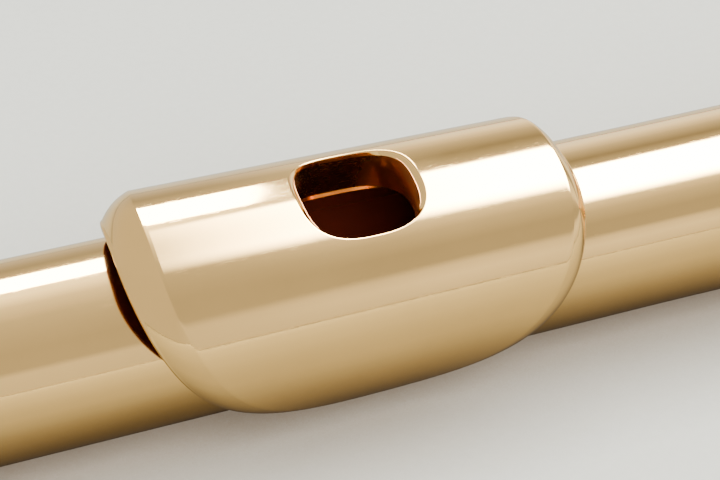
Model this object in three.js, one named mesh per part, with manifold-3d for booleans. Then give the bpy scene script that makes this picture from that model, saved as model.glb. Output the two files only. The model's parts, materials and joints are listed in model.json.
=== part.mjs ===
// Concert flute with a C foot and closed keys, in millimetres, +Z up.
//
// The flute lies along X with the crown at -X. It is laid out about its own axis: x = 0 is the
// middle of the embouchure hole, and a place round the tube is a turn from the top towards the
// player (-Y). The head joint is then rolled towards the player and the body and foot away, as
// the flute lies on a table on its barrel, its foot socket and the posts of its thumb keys.
import * as THREE from 'three';
import { mergeVertices } from 'three/addons/utils/BufferGeometryUtils.js';
import Module from 'manifold-3d';

const wasm = await Module();
wasm.setup();

const rad = THREE.MathUtils.degToRad;

// ---- driving dimensions -------------------------------------------------------------------
const GAP = 0.3; // between pieces that meet
const TUBE_SIDES = 24;
const HEAD_ROLL = rad(15); // head joint, towards the player
const BODY_ROLL = rad(-18); // body and foot, away from the player

// tubes: stations along X and radii
const CROWN_END = -52.5;
const HEAD_START = -40;
const HEAD_TAPER_START = 32;
const HEAD_TAPER_END = 150;
const HEAD_END = 175;
const BODY_START = 176;
const BODY_END = 491.5;
const FOOT_START = 492;
const FOOT_RING = 602;
const FOOT_END = 605;
const HEAD_R = 9.1;
const BODY_R = 9.9;
const HEAD_WALL = 0.5;
const BODY_WALL = 0.45;
const BARREL = [143, 180];
const SOCKET = [480, 497];
const SLEEVE_BORE = BODY_R + GAP;
const SLEEVE_R = 10.9;
const RING_R = 11.7;
const RING_LENGTH = 2.8;

// lip plate: where it is longest, its reach from there round the tube towards the player and away,
// and, towards the crown and towards the foot, its half length and the length of its end bevel
const PLATE_MID = rad(10);
const PLATE_REACH = [rad(114), rad(122)];
const PLATE_POWER = [2, 3.2]; // squareness of its outline on those two sides: 2 is an ellipse
const PLATE_HALF = [22.8, 21.0];
const PLATE_BEVEL = [3.1, 1.6];
const PLATE_WALL = 0.8;
const PLATE_LEAN = 0.012; // fall of its top towards the foot, for each millimetre along
const PLATE_TOP = 13.7;
const PLATE_SECTION = [[-115, 10.3], [-80, 11.2], [-50, 12.35], [-35, 12.95], [-20, 13.6],
  [0, PLATE_TOP], [20, 13.6], [45, 13.15], [70, 12.5], [90, 11.9], [110, 11.2],
  [125, 10.8]]; // turn in degrees, radius
const PLATE_END_R = [10.2, 1.0, rad(40)]; // radius of the bevelled ends, its rise, and where
const HOLE = [5.9, 5.1]; // half axes of the embouchure hole along and across the tube
const HOLE_POWER = 2.75; // its roundness: 2 is an ellipse
const RISER_FLARE = 0.5; // how much wider the riser is inside at the tube
const RISER_WALL = 0.8;
const RISER_TOP_GAP = 1.1; // under the plate, whose flat facets sag between its corners

// stopper and crown
const STOPPER_FACE = -17.6;
const SCREW_R = 1.5;

// tone holes: height of their rims over the axis
const RIM_HEIGHT = 11.3;
const CHIMNEY_WALL = 0.5;

// key work
const CUP_TOP = 15;
const CUP_DEPTH = 2.4;
const CUP_WALL = 0.7;
const PAD_GAP = 0.25; // between a closed pad and its rim
const PAD_THICK = 2.4;
const HINGE_R = 1.8;
const HINGE_BORE = 1.25;
const ROD_R = 0.95;
const POST_R = 1.5;
const POST_HEAD_R = 1.9;
const POST_HALF = 1.5;
const ARM_WIDTH = 2.6;
const RIB = { turn: rad(58), inner: BODY_R + GAP, outer: 10.9, halfWidth: 1.6 };
const OPEN = rad(8.5); // how far the open-standing keys stand off their holes
const TRILL = { tube: 1.6, bore: 1.15, rod: 0.85 };

// a place across the tube, [y, z], at a turn towards the player and a radius
const across = (turn, r) => [-r * Math.sin(turn), r * Math.cos(turn)];
const MAIN_LINE = across(rad(47), 14.9);
const TRILL_LINE = across(rad(66), 14.4);
const G_SHARP_LINE = across(rad(60), 18.2);
const THUMB_TURN = rad(108);
const THUMB_LINE = across(rad(46), 13.6);
const G_SHARP_TURN = rad(-58);

// keys of the main line: tone hole station, pad radius, cup radius, and the ends of the hinge tube
const STACK = [
  { name: 'c_sharp', x: 235, pad: 4.5, cup: 5.3, tube: [229, 243] },
  { name: 'c', x: 275.7, pad: 8.1, cup: 8.8, tube: [243.4, 285] },
  { name: 'b_flat', x: 295, pad: 8.1, cup: 8.8, tube: [289, 305.2] },
  { name: 'a', x: 316, pad: 8.1, cup: 8.8, tube: [305.6, 326] },
  { name: 'g_upper', x: 338, pad: 8.1, cup: 8.8, tube: [326.4, 347.9] },
  { name: 'g_lower', x: 361.4, pad: 7.9, cup: 8.6, tube: [352.1, 370.6] },
  { name: 'f_sharp', x: 386, pad: 7.9, cup: 8.6, tube: [376.4, 397.6] },
  { name: 'f', x: 412.3, pad: 8.1, cup: 8.8, tube: [401.8, 425] },
  { name: 'e', x: 440, pad: 8.1, cup: 8.8, tube: [425.4, 452] },
  { name: 'd', x: 466, pad: 8.1, cup: 8.8, tube: [452.4, 474.4] },
];
const MAIN_POSTS = [227, 287, 350, 399.7, 476.5];
const G_SHARP_POSTS = [350, 399.7];
const ROD_JOIN = 350.1;
const D_TRILL = { name: 'd_trill', x: 211, touch: 426 };
const D_SHARP_TRILL = { name: 'd_sharp_trill', x: 195, touch: 453 };
const TRILL_CUP = { pad: 4.5, cup: 5.3 };
const TRILL_POSTS = [187.5, 461];
const G_SHARP = { x: 373.5, pad: 6.6, cup: 7.3 };
const THUMB = { x: 281, pad: 6.25, cup: 7.2 };
const THUMB_POSTS = [266, 296];
const FOOT_KEYS = { eFlat: 507, cSharp: 538, c: 569 };
const FOOT_CUP = { pad: 8.1, cup: 8.8 };
const FOOT_POSTS = [499.5, 517.2, 581];

// ---- materials ----------------------------------------------------------------------------
const gold = () => new THREE.MeshStandardMaterial({ color: 0xd9bc90, roughness: 0.16, metalness: 1 });
const steel = () => new THREE.MeshStandardMaterial({ color: 0xb9bcc0, roughness: 0.25, metalness: 1 });
const cork = () => new THREE.MeshStandardMaterial({ color: 0xb08a5c, roughness: 0.9, metalness: 0 });
const padSkin = () => new THREE.MeshStandardMaterial({ color: 0xe8dcc4, roughness: 0.6, metalness: 0 });

// ---- solids -------------------------------------------------------------------------------
// A closed geometry as a solid: shared corners merged, triangles without area left out.
function solid(geometry) {
  geometry.deleteAttribute('normal');
  geometry.deleteAttribute('uv');
  const merged = mergeVertices(geometry, 1e-4);
  const corners = merged.index.array;
  const kept = [];
  for (let i = 0; i < corners.length; i += 3) {
    const [a, b, c] = [corners[i], corners[i + 1], corners[i + 2]];
    if (a !== b && b !== c && c !== a) kept.push(a, b, c);
  }
  const vertProperties = new Float32Array(merged.attributes.position.array);
  return new wasm.Manifold(new wasm.Mesh({ numProp: 3, vertProperties, triVerts: new Uint32Array(kept) }));
}

const union = (...pieces) => pieces.reduce((whole, piece) => whole.add(piece));
const cut = (whole, ...tools) => tools.reduce((rest, tool) => rest.subtract(tool), whole);

// A solid turned about the X axis.
const turned = (piece, turn) => piece.rotate([THREE.MathUtils.radToDeg(turn), 0, 0]);

// A ring or bar along X: profile points are [radius, x], on the outside from low x to high x.
function lathe(profile, sides) {
  const points = profile.map(([r, x]) => new THREE.Vector2(r, x));
  return solid(new THREE.LatheGeometry(points, sides).rotateZ(-Math.PI / 2));
}

// A round bar along X between two stations, about the line [y, z].
function bar(r, [x0, x1], [y, z] = [0, 0], sides = 8) {
  return lathe([[0, x0], [r, x0], [r, x1], [0, x1]], sides).translate([0, y, z]);
}

// A ring that closes on itself along X.
const sleeve = (profile, sides = TUBE_SIDES) => lathe([...profile, profile[0]], sides);

// A round upright body at a station: profile points are [radius, z], on the outside upwards.
function upright(profile, x, sides) {
  const points = profile.map(([r, z]) => new THREE.Vector2(r, z));
  return solid(new THREE.LatheGeometry(points, sides).rotateX(Math.PI / 2)).translate([x, 0, 0]);
}

// An outline of [y, z] points made thick along X.
function slab(outline, x0, x1) {
  const shape = new THREE.Shape(outline.map(([y, z]) => new THREE.Vector2(y, z)));
  const geometry = new THREE.ExtrudeGeometry(shape, { depth: x1 - x0, bevelEnabled: false });
  const turn = new THREE.Matrix4().makeBasis(
    new THREE.Vector3(0, 1, 0), new THREE.Vector3(0, 0, 1), new THREE.Vector3(1, 0, 0));
  return solid(geometry.applyMatrix4(turn)).translate([x0, 0, 0]);
}

// An oval finger plate lying flat, thick along Z.
function oval(x, y, z, [halfX, halfY], thick, sides = 16) {
  const geometry = new THREE.CylinderGeometry(1, 1, thick, sides).rotateX(Math.PI / 2);
  return solid(geometry.scale(halfX, halfY, 1)).translate([x, y, z]);
}

// A round post across the tube from one [y, z] place to another.
function stem(r, x, from, to, sides = 6) {
  const [dy, dz] = [to[0] - from[0], to[1] - from[1]];
  const length = Math.hypot(dy, dz);
  const geometry = new THREE.CylinderGeometry(r, r, length, sides).translate(0, length / 2, 0);
  geometry.rotateX(Math.atan2(dz, dy));
  return solid(geometry).translate([x, from[0], from[1]]);
}

function mesh(name, piece, material) {
  const { vertProperties, triVerts } = piece.getMesh();
  const geometry = new THREE.BufferGeometry();
  geometry.setAttribute('position', new THREE.BufferAttribute(vertProperties, 3));
  geometry.setIndex(new THREE.BufferAttribute(triVerts, 1));
  geometry.computeVertexNormals();
  const made = new THREE.Mesh(geometry, material);
  made.name = name;
  return made;
}

// A piece that swings on a hinge line: its own origin is on the line, and it is turned by angle.
function swung(name, piece, material, line, angle) {
  const made = mesh(name, piece.translate([0, -line[0], -line[1]]), material);
  made.position.set(0, line[0], line[1]);
  made.rotation.x = angle;
  return made;
}

// ---- head joint ---------------------------------------------------------------------------
// Outer radius of the lip plate's section at a turn: straight steps between its points.
function sectionRadius(turn) {
  const degrees = THREE.MathUtils.radToDeg(turn);
  const next = PLATE_SECTION.findIndex(([at]) => at >= degrees);
  const [[a, ra], [b, rb]] = [PLATE_SECTION[next - 1], PLATE_SECTION[next]];
  return ra + ((rb - ra) * (degrees - a)) / (b - a);
}

// Point of the lip plate: along runs -1 to 1 from end to end, round runs -1 to 1 from the far
// edge to the player's edge. The outline is a rounded oval, and the ends fall in a bevel.
function platePoint(along, round, inset) {
  const side = round > 0 ? 0 : 1;
  const end = along < 0 ? 0 : 1;
  const turn = PLATE_MID + round * PLATE_REACH[side];
  const power = PLATE_POWER[side];
  const half = PLATE_HALF[end] * Math.max(1 - Math.abs(round) ** power, 0) ** (1 / power);
  const bevel = Math.min(PLATE_BEVEL[end], 0.5 * half);
  const crease = 0.75;
  const inner = (half - bevel) * Math.min(Math.abs(along) / crease, 1);
  const fall = Math.max(Math.abs(along) - crease, 0) / (1 - crease);
  const x = Math.sign(along) * (inner + bevel * fall);
  const top = sectionRadius(turn) - PLATE_LEAN * x;
  const lip = PLATE_END_R[0] + PLATE_END_R[1] * Math.max(Math.cos(turn - PLATE_END_R[2]), 0);
  const r = top - Math.max(top - lip, 0) * fall - inset;
  return [x, ...across(turn, r)];
}

// A closed skin between an outer and an inner grid of points.
function shell(columns, rows, point) {
  const positions = [];
  for (const inset of [0, PLATE_WALL]) {
    for (let i = 0; i <= columns; i += 1) {
      for (let j = 0; j <= rows; j += 1) {
        const round = Math.sin(((j / rows) * 2 - 1) * Math.PI / 2);
        positions.push(...point((i / columns) * 2 - 1, round, inset));
      }
    }
  }
  const at = (layer, i, j) => layer * (columns + 1) * (rows + 1) + i * (rows + 1) + j;
  const faces = [];
  const quad = (a, b, c, d) => faces.push(a, b, c, a, c, d);
  for (let i = 0; i < columns; i += 1) {
    for (let j = 0; j < rows; j += 1) {
      quad(at(0, i, j), at(0, i, j + 1), at(0, i + 1, j + 1), at(0, i + 1, j));
      quad(at(1, i, j), at(1, i + 1, j), at(1, i + 1, j + 1), at(1, i, j + 1));
    }
  }
  for (let j = 0; j < rows; j += 1) {
    quad(at(0, 0, j), at(1, 0, j), at(1, 0, j + 1), at(0, 0, j + 1));
    quad(at(0, columns, j), at(0, columns, j + 1), at(1, columns, j + 1), at(1, columns, j));
  }
  for (let i = 0; i < columns; i += 1) {
    quad(at(0, i, 0), at(0, i + 1, 0), at(1, i + 1, 0), at(1, i, 0));
    quad(at(0, i, rows), at(1, i, rows), at(1, i + 1, rows), at(0, i + 1, rows));
  }
  const geometry = new THREE.BufferGeometry();
  geometry.setAttribute('position', new THREE.Float32BufferAttribute(positions, 3));
  geometry.setIndex(faces);
  return solid(geometry);
}

// Rounded oval round the embouchure hole, grown by an amount.
function holeOutline(grow, count = 24) {
  return Array.from({ length: count }, (_, i) => {
    const angle = (i / count) * 2 * Math.PI;
    const bend = (value) => Math.sign(value) * Math.abs(value) ** (2 / HOLE_POWER);
    return [(HOLE[0] + grow) * bend(Math.cos(angle)), (HOLE[1] + grow) * bend(Math.sin(angle))];
  });
}

// The space inside that oval, from below the tube's wall to above the plate.
function holeTool(grow) {
  const [from, depth] = [4, 14];
  const shape = new THREE.Shape(holeOutline(grow).map(([x, y]) => new THREE.Vector2(x, y)));
  return solid(new THREE.ExtrudeGeometry(shape, { depth, bevelEnabled: false })).translate([0, 0, from]);
}

// Short chimney between the tube and the plate: four rings of points joined in a band.
function riser() {
  const seat = (y) => Math.sqrt((HEAD_R + GAP) ** 2 - y * y);
  const under = (y) => {
    const turn = Math.asin(-y / PLATE_TOP);
    return (sectionRadius(turn) - PLATE_WALL - RISER_TOP_GAP) * Math.cos(turn);
  };
  const rings = [
    [RISER_FLARE, seat], [RISER_FLARE + RISER_WALL, seat], [RISER_WALL, under], [0, under],
  ].map(([grow, height]) => holeOutline(grow).map(([x, y]) => [x, y, height(y)]));
  const count = rings[0].length;
  const faces = [];
  for (let k = 0; k < rings.length; k += 1) {
    for (let i = 0; i < count; i += 1) {
      const next = (i + 1) % count;
      const [a, b] = [k * count, ((k + 1) % rings.length) * count];
      faces.push(a + i, a + next, b + next, a + i, b + next, b + i);
    }
  }
  const geometry = new THREE.BufferGeometry();
  geometry.setAttribute('position', new THREE.Float32BufferAttribute(rings.flat(2), 3));
  geometry.setIndex(faces);
  return solid(geometry);
}

function headJoint() {
  const group = new THREE.Group();
  const tube = sleeve([
    [HEAD_R - HEAD_WALL, HEAD_START], [HEAD_R, HEAD_START], [HEAD_R, HEAD_TAPER_START],
    [BODY_R, HEAD_TAPER_END], [BODY_R, HEAD_END], [BODY_R - HEAD_WALL, HEAD_END],
    [BODY_R - HEAD_WALL, HEAD_TAPER_END], [HEAD_R - HEAD_WALL, HEAD_TAPER_START],
  ]);
  group.add(mesh('head_tube', cut(tube, holeTool(RISER_FLARE)), gold()));
  group.add(mesh('lip_plate', cut(shell(16, 16, platePoint), holeTool(0)), gold()));
  group.add(mesh('riser', riser(), gold()));

  const tenon = HEAD_R - HEAD_WALL - 0.4;
  const crown = lathe([
    [0, CROWN_END], [6.5, CROWN_END], [8.7, CROWN_END + 1.2], [9.8, CROWN_END + 3.6],
    [9.8, HEAD_START - 1.3], [9.4, HEAD_START - GAP], [tenon, HEAD_START - GAP],
    [tenon, HEAD_START + 5], [SCREW_R + 0.4, HEAD_START + 5],
    [SCREW_R + 0.4, CROWN_END + 4], [0, CROWN_END + 4],
  ], 24);
  group.add(mesh('crown', crown, gold()));

  const disc = HEAD_R - HEAD_WALL - 0.5;
  const screw = lathe([
    [0, CROWN_END + 6], [SCREW_R, CROWN_END + 6], [SCREW_R, STOPPER_FACE - 1.3],
    [disc, STOPPER_FACE - 1.3], [disc, STOPPER_FACE], [0, STOPPER_FACE],
  ], 16);
  group.add(mesh('stopper_screw', screw, gold()));
  const washer = (r, x0, x1) => sleeve([[SCREW_R + GAP, x0], [r, x0], [r, x1], [SCREW_R + GAP, x1]], 16);
  group.add(mesh('stopper_cork', washer(disc, STOPPER_FACE - 11, STOPPER_FACE - 1.6), cork()));
  group.add(mesh('stopper_nut', washer(disc - 1.5, STOPPER_FACE - 13, STOPPER_FACE - 11.3), gold()));
  return group;
}

// ---- tubes with tone holes ----------------------------------------------------------------
// holes: station, turn round the tube, and the outer radius of the drawn chimney.
function tubeWithHoles(outer, bore, holes) {
  const base = 6;
  const column = (r, top, { x, turn }) => turned(
    upright([[0, base], [r, base], [r, top], [0, top]], x, r > 5 ? 12 : 10), turn);
  const chimneys = holes.map((hole) => column(hole.r, RIM_HEIGHT, hole));
  const openings = holes.map((hole) => column(hole.r - CHIMNEY_WALL, RIM_HEIGHT + 1, hole));
  return cut(union(outer, ...chimneys), bore, ...openings);
}

const chimneyRadius = (pad) => pad - 0.5;

function sleeveWithRings([x0, x1]) {
  const chamfer = 0.6;
  return sleeve([
    [SLEEVE_BORE, x0], [RING_R, x0], [RING_R, x0 + RING_LENGTH], [SLEEVE_R, x0 + RING_LENGTH + chamfer],
    [SLEEVE_R, x1 - RING_LENGTH - chamfer], [RING_R, x1 - RING_LENGTH], [RING_R, x1], [SLEEVE_BORE, x1],
  ]);
}

// ---- key work -----------------------------------------------------------------------------
// Cup of a closed key, a shallow dish turned down over its pad.
function cup(x, r) {
  const bottom = CUP_TOP - CUP_DEPTH;
  const inside = r - CUP_WALL / 2;
  return upright([
    [0, CUP_TOP - CUP_WALL], [inside, CUP_TOP - CUP_WALL], [inside, bottom], [r, bottom],
    [r, CUP_TOP - 0.5], [r - 0.6, CUP_TOP], [0, CUP_TOP],
  ], x, r > 6 ? 16 : 12);
}

const pad = (x, r) => {
  const low = RIM_HEIGHT + PAD_GAP;
  return upright([[0, low], [r, low], [r, low + PAD_THICK], [0, low + PAD_THICK]], x, r > 6 ? 12 : 8);
};

// Arm from a hinge line up and over the cup to its middle.
function arm(x, [hy, hz], width = ARM_WIDTH) {
  const top = CUP_TOP + 1;
  const under = CUP_TOP - 0.2;
  const outline = [
    [hy - 1.3, hz], [hy + 1.3, hz], [hy + 1.1, hz + 3], [hy + 1.6, under],
    [1.5, under], [1.5, top], [hy + 0.3, top], [hy - 1.2, hz + 4.2],
  ];
  return slab(outline, x - width / 2, x + width / 2);
}

// Longer arm of the trill keys, from their low hinge line.
function trillArm(x) {
  const [hy, hz] = TRILL_LINE;
  const top = CUP_TOP + 1;
  const under = CUP_TOP - 0.2;
  const outline = [
    [hy - 1.2, hz], [hy + 1.2, hz], [hy + 1, 12.4], [hy + 2.6, under],
    [1.2, under], [1.2, top], [hy + 1.9, top], [hy - 0.6, 13],
  ];
  return slab(outline, x - ARM_WIDTH / 2, x + ARM_WIDTH / 2);
}

// Finger lever outboard of a hinge line, with an oval touch at its end.
function lever(x, [hy, hz], reach, rise, half) {
  const outline = [
    [hy, hz - 1], [hy, hz + 1], [hy - reach + 1, hz + rise + 0.5], [hy - reach, hz + rise - 0.6],
  ];
  return union(
    slab(outline, x - ARM_WIDTH / 2, x + ARM_WIDTH / 2),
    oval(x, hy - reach, hz + rise, half, 1.2));
}

const hingeTube = (span, line, r = HINGE_R) => bar(r, span, line);
const hingeBore = ([x0, x1], line, r = HINGE_BORE) => bar(r, [x0 - 1, x1 + 1], line);

// Rib along the tube with posts that rise to the hinge lines; posts: stations and their line.
function ribWithPosts([x0, x1], posts) {
  const { turn, inner, outer, halfWidth } = RIB;
  const strip = turned(
    slab([[-halfWidth, inner], [halfWidth, inner], [halfWidth, outer], [-halfWidth, outer]], x0, x1), turn);
  const foot = across(turn, (inner + outer) / 2);
  const raised = posts.map(({ x, line, from = foot }) => union(
    stem(POST_R, x, from, line), bar(POST_HEAD_R, [x - POST_HALF, x + POST_HALF], line, 10)));
  const bores = posts.map(({ x, line }) => bar(HINGE_BORE, [x - 3, x + 3], line));
  const tube = bar(inner, [x0 - 1, x1 + 1], [0, 0], TUBE_SIDES);
  return cut(union(strip, ...raised), tube, ...bores);
}

// A cup key: its body with the bore through the hinge tube, and its pad, on one hinge line.
function addCupKey(group, { name, x, pad: padR, cup: cupR, tube }, line, angle, extras = []) {
  const body = union(cup(x, cupR), arm(x, line), hingeTube(tube, line), ...extras);
  group.add(swung(`key_${name}`, cut(body, hingeBore(tube, line)), gold(), line, angle));
  group.add(swung(`pad_${name}`, pad(x, padR), padSkin(), line, angle));
}

// The two trill keys share a line: the D key is a tube, and the D sharp key a rod through it.
function addTrillKeys(group) {
  const line = TRILL_LINE;
  const touch = (x) => lever(x, line, 9.6, 4.6, [4.2, 2.8]);
  const dTube = [D_TRILL.x - 6, D_TRILL.touch + 6];
  const d = union(cup(D_TRILL.x, TRILL_CUP.cup), trillArm(D_TRILL.x),
    hingeTube(dTube, line, TRILL.tube), touch(D_TRILL.touch));
  group.add(swung('key_d_trill', cut(d, hingeBore(dTube, line, TRILL.bore)), gold(), line, 0));
  group.add(swung('pad_d_trill', pad(D_TRILL.x, TRILL_CUP.pad), padSkin(), line, 0));

  const { x, touch: far } = D_SHARP_TRILL;
  const dSharp = union(
    cup(x, TRILL_CUP.cup), trillArm(x), touch(far),
    bar(TRILL.rod, [TRILL_POSTS[0] - 1, TRILL_POSTS[1] + 1], line),
    hingeTube([x - 5, x + 8], line, TRILL.tube), hingeTube([far - 6, far + 5], line, TRILL.tube));
  group.add(swung('key_d_sharp_trill', dSharp, gold(), line, 0));
  group.add(swung('pad_d_sharp_trill', pad(x, TRILL_CUP.pad), padSkin(), line, 0));
}

// The G sharp key crosses the tube between two cups to a hole on the far side.
function addGSharpKey(group) {
  const line = G_SHARP_LINE;
  const { x, cup: cupR, pad: padR } = G_SHARP;
  const tube = [G_SHARP_POSTS[0] + 2.1, G_SHARP_POSTS[1] - 2.1];
  const path = [[48, 12.3], [30, 11.8], [0, 11.6], [-10, 12.4], [-23, 15], [-29.5, 16.1], [-36, 16.7],
    [-50, 15.8], [-60, 15.7]];
  const half = 0.45;
  const edge = (offset) => path.map(([degrees, r]) => across(rad(degrees), r + offset));
  const outline = [[line[0], line[1] + 0.6], ...edge(half), ...edge(-half).reverse(), [line[0], line[1] - 0.6]];
  const strip = slab(outline.reverse(), x - 1.2, x + 1.2);
  const touch = lever(tube[0] + 7, line, 9, 1.2, [7, 3.6]);
  const body = union(turned(cup(x, cupR), G_SHARP_TURN), strip, hingeTube(tube, line, TRILL.tube), touch);
  group.add(swung('key_g_sharp', cut(body, hingeBore(tube, line, TRILL.bore)), gold(), line, 0));
  group.add(swung('pad_g_sharp', turned(pad(x, padR), G_SHARP_TURN), padSkin(), line, 0));
}

// The thumb keys are laid out as if their hole were on top, then turned round the tube.
function addThumbKeys(group) {
  const line = THUMB_LINE;
  const thumb = new THREE.Group();
  const plate = (x0, x1) => slab([[-4.5, 14], [4.5, 14], [4.5, 15.1], [-4.5, 15.1]], x0, x1);
  const tube = [THUMB_POSTS[0] + 1.9, THUMB.x + 5];
  const key = { name: 'thumb_b', ...THUMB, tube };
  addCupKey(thumb, key, line, rad(8), [plate(THUMB.x - 16.5, THUMB.x - 6.9)]);

  const leverTube = [tube[1] + 0.4, THUMB_POSTS[1] - 1.9];
  const x = leverTube[1] - ARM_WIDTH / 2 - 0.5;
  const body = union(hingeTube(leverTube, line), arm(x, line), plate(THUMB.x + 8.6, THUMB.x + 18));
  thumb.add(swung('key_thumb_b_flat', cut(body, hingeBore(leverTube, line)), gold(), line, rad(8)));

  const posts = THUMB_POSTS.map((at) => ({ x: at, line }));
  thumb.add(mesh('thumb_rib', ribWithPosts([THUMB_POSTS[0] - 2, THUMB_POSTS[1] + 2], posts), gold()));
  thumb.add(mesh('thumb_rod', bar(ROD_R, [THUMB_POSTS[0] - 1, THUMB_POSTS[1] + 1], line), steel()));
  thumb.rotation.x = THUMB_TURN;
  group.add(thumb);
}

function bodyJoint() {
  const group = new THREE.Group();
  const holes = [
    ...STACK.map((key) => ({ x: key.x, turn: 0, r: chimneyRadius(key.pad) })),
    ...[D_TRILL, D_SHARP_TRILL].map(({ x }) => ({ x, turn: 0, r: chimneyRadius(TRILL_CUP.pad) })),
    { x: G_SHARP.x, turn: G_SHARP_TURN, r: chimneyRadius(G_SHARP.pad) },
    { x: THUMB.x, turn: THUMB_TURN, r: chimneyRadius(THUMB.pad) },
  ];
  const outer = bar(BODY_R, [BODY_START, BODY_END], [0, 0], TUBE_SIDES);
  const bore = bar(BODY_R - BODY_WALL, [BODY_START - 1, BODY_END + 1], [0, 0], TUBE_SIDES);
  group.add(mesh('body_tube', tubeWithHoles(outer, bore, holes), gold()));
  group.add(mesh('barrel', sleeveWithRings(BARREL), gold()));

  const posts = [
    ...MAIN_POSTS.map((x) => ({ x, line: MAIN_LINE })),
    ...G_SHARP_POSTS.map((x) => ({ x, line: G_SHARP_LINE, from: [MAIN_LINE[0] - 1.6, MAIN_LINE[1] - 0.3] })),
    { x: TRILL_POSTS[1], line: TRILL_LINE },
  ];
  const span = [MAIN_POSTS[0] - 3, MAIN_POSTS.at(-1) + 2];
  group.add(mesh('main_rib', ribWithPosts(span, posts), gold()));
  const upperTrillPost = [{ x: TRILL_POSTS[0], line: TRILL_LINE }];
  const trillSpan = [TRILL_POSTS[0] - 3, TRILL_POSTS[0] + 3];
  group.add(mesh('trill_post', ribWithPosts(trillSpan, upperTrillPost), gold()));
  group.add(mesh('upper_rod', bar(ROD_R, [MAIN_POSTS[0] - 1.5, ROD_JOIN - GAP], MAIN_LINE), steel()));
  group.add(mesh('lower_rod', bar(ROD_R, [ROD_JOIN, MAIN_POSTS.at(-1) + 1.5], MAIN_LINE), steel()));
  const gSharpRod = [G_SHARP_POSTS[0] - 1, G_SHARP_POSTS[1] + 1];
  group.add(mesh('g_sharp_rod', bar(TRILL.rod, gSharpRod, G_SHARP_LINE), steel()));

  for (const key of STACK) addCupKey(group, key, MAIN_LINE, OPEN);
  addTrillKeys(group);
  addGSharpKey(group);
  addThumbKeys(group);
  return group;
}

// ---- foot joint ---------------------------------------------------------------------------
// Touch of the C sharp and C keys: an arm over the hinge with two ears and a pin for a roller.
const ROLLER_LINE = [-5.2, 17.4];
const ROLLER = { r: 1.7, bore: 0.75, pin: 0.45, half: 2.1, ear: 0.5 };

function rollerTouch(x) {
  const [hy, hz] = MAIN_LINE;
  const outer = ROLLER.half + GAP;
  const ears = [-1, 1].map((side) => {
    const at = x + side * (outer + ROLLER.ear / 2);
    const [y, z] = ROLLER_LINE;
    const outline = [[hy + 1, z - 1.6], [y + 1.2, z - 1.2], [y + 1.2, z + 1], [y - 1.2, z + 1]];
    return slab(outline, at - ROLLER.ear / 2, at + ROLLER.ear / 2);
  });
  const back = slab([
    [hy - 1.3, hz], [hy + 1.3, hz], [hy + 1.3, ROLLER_LINE[1] - 2], [hy + 2.4, ROLLER_LINE[1] - 0.4],
    [hy + 1.2, ROLLER_LINE[1] + 0.2], [hy - 1.2, hz + 5],
  ], x - outer - ROLLER.ear, x + outer + ROLLER.ear);
  const pin = bar(ROLLER.pin, [x - outer - ROLLER.ear, x + outer + ROLLER.ear], ROLLER_LINE, 8);
  return union(back, pin, ...ears);
}

function addRoller(group, name, x) {
  const { r, bore, half } = ROLLER;
  const roller = sleeve([[bore, x - half], [r, x - half], [r, x + half], [bore, x + half]], 12);
  const made = mesh(name, roller.translate([0, ROLLER_LINE[0] - MAIN_LINE[0], ROLLER_LINE[1] - MAIN_LINE[1]]), gold());
  made.position.set(0, MAIN_LINE[0], MAIN_LINE[1]);
  made.rotation.x = OPEN;
  group.add(made);
}

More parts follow.
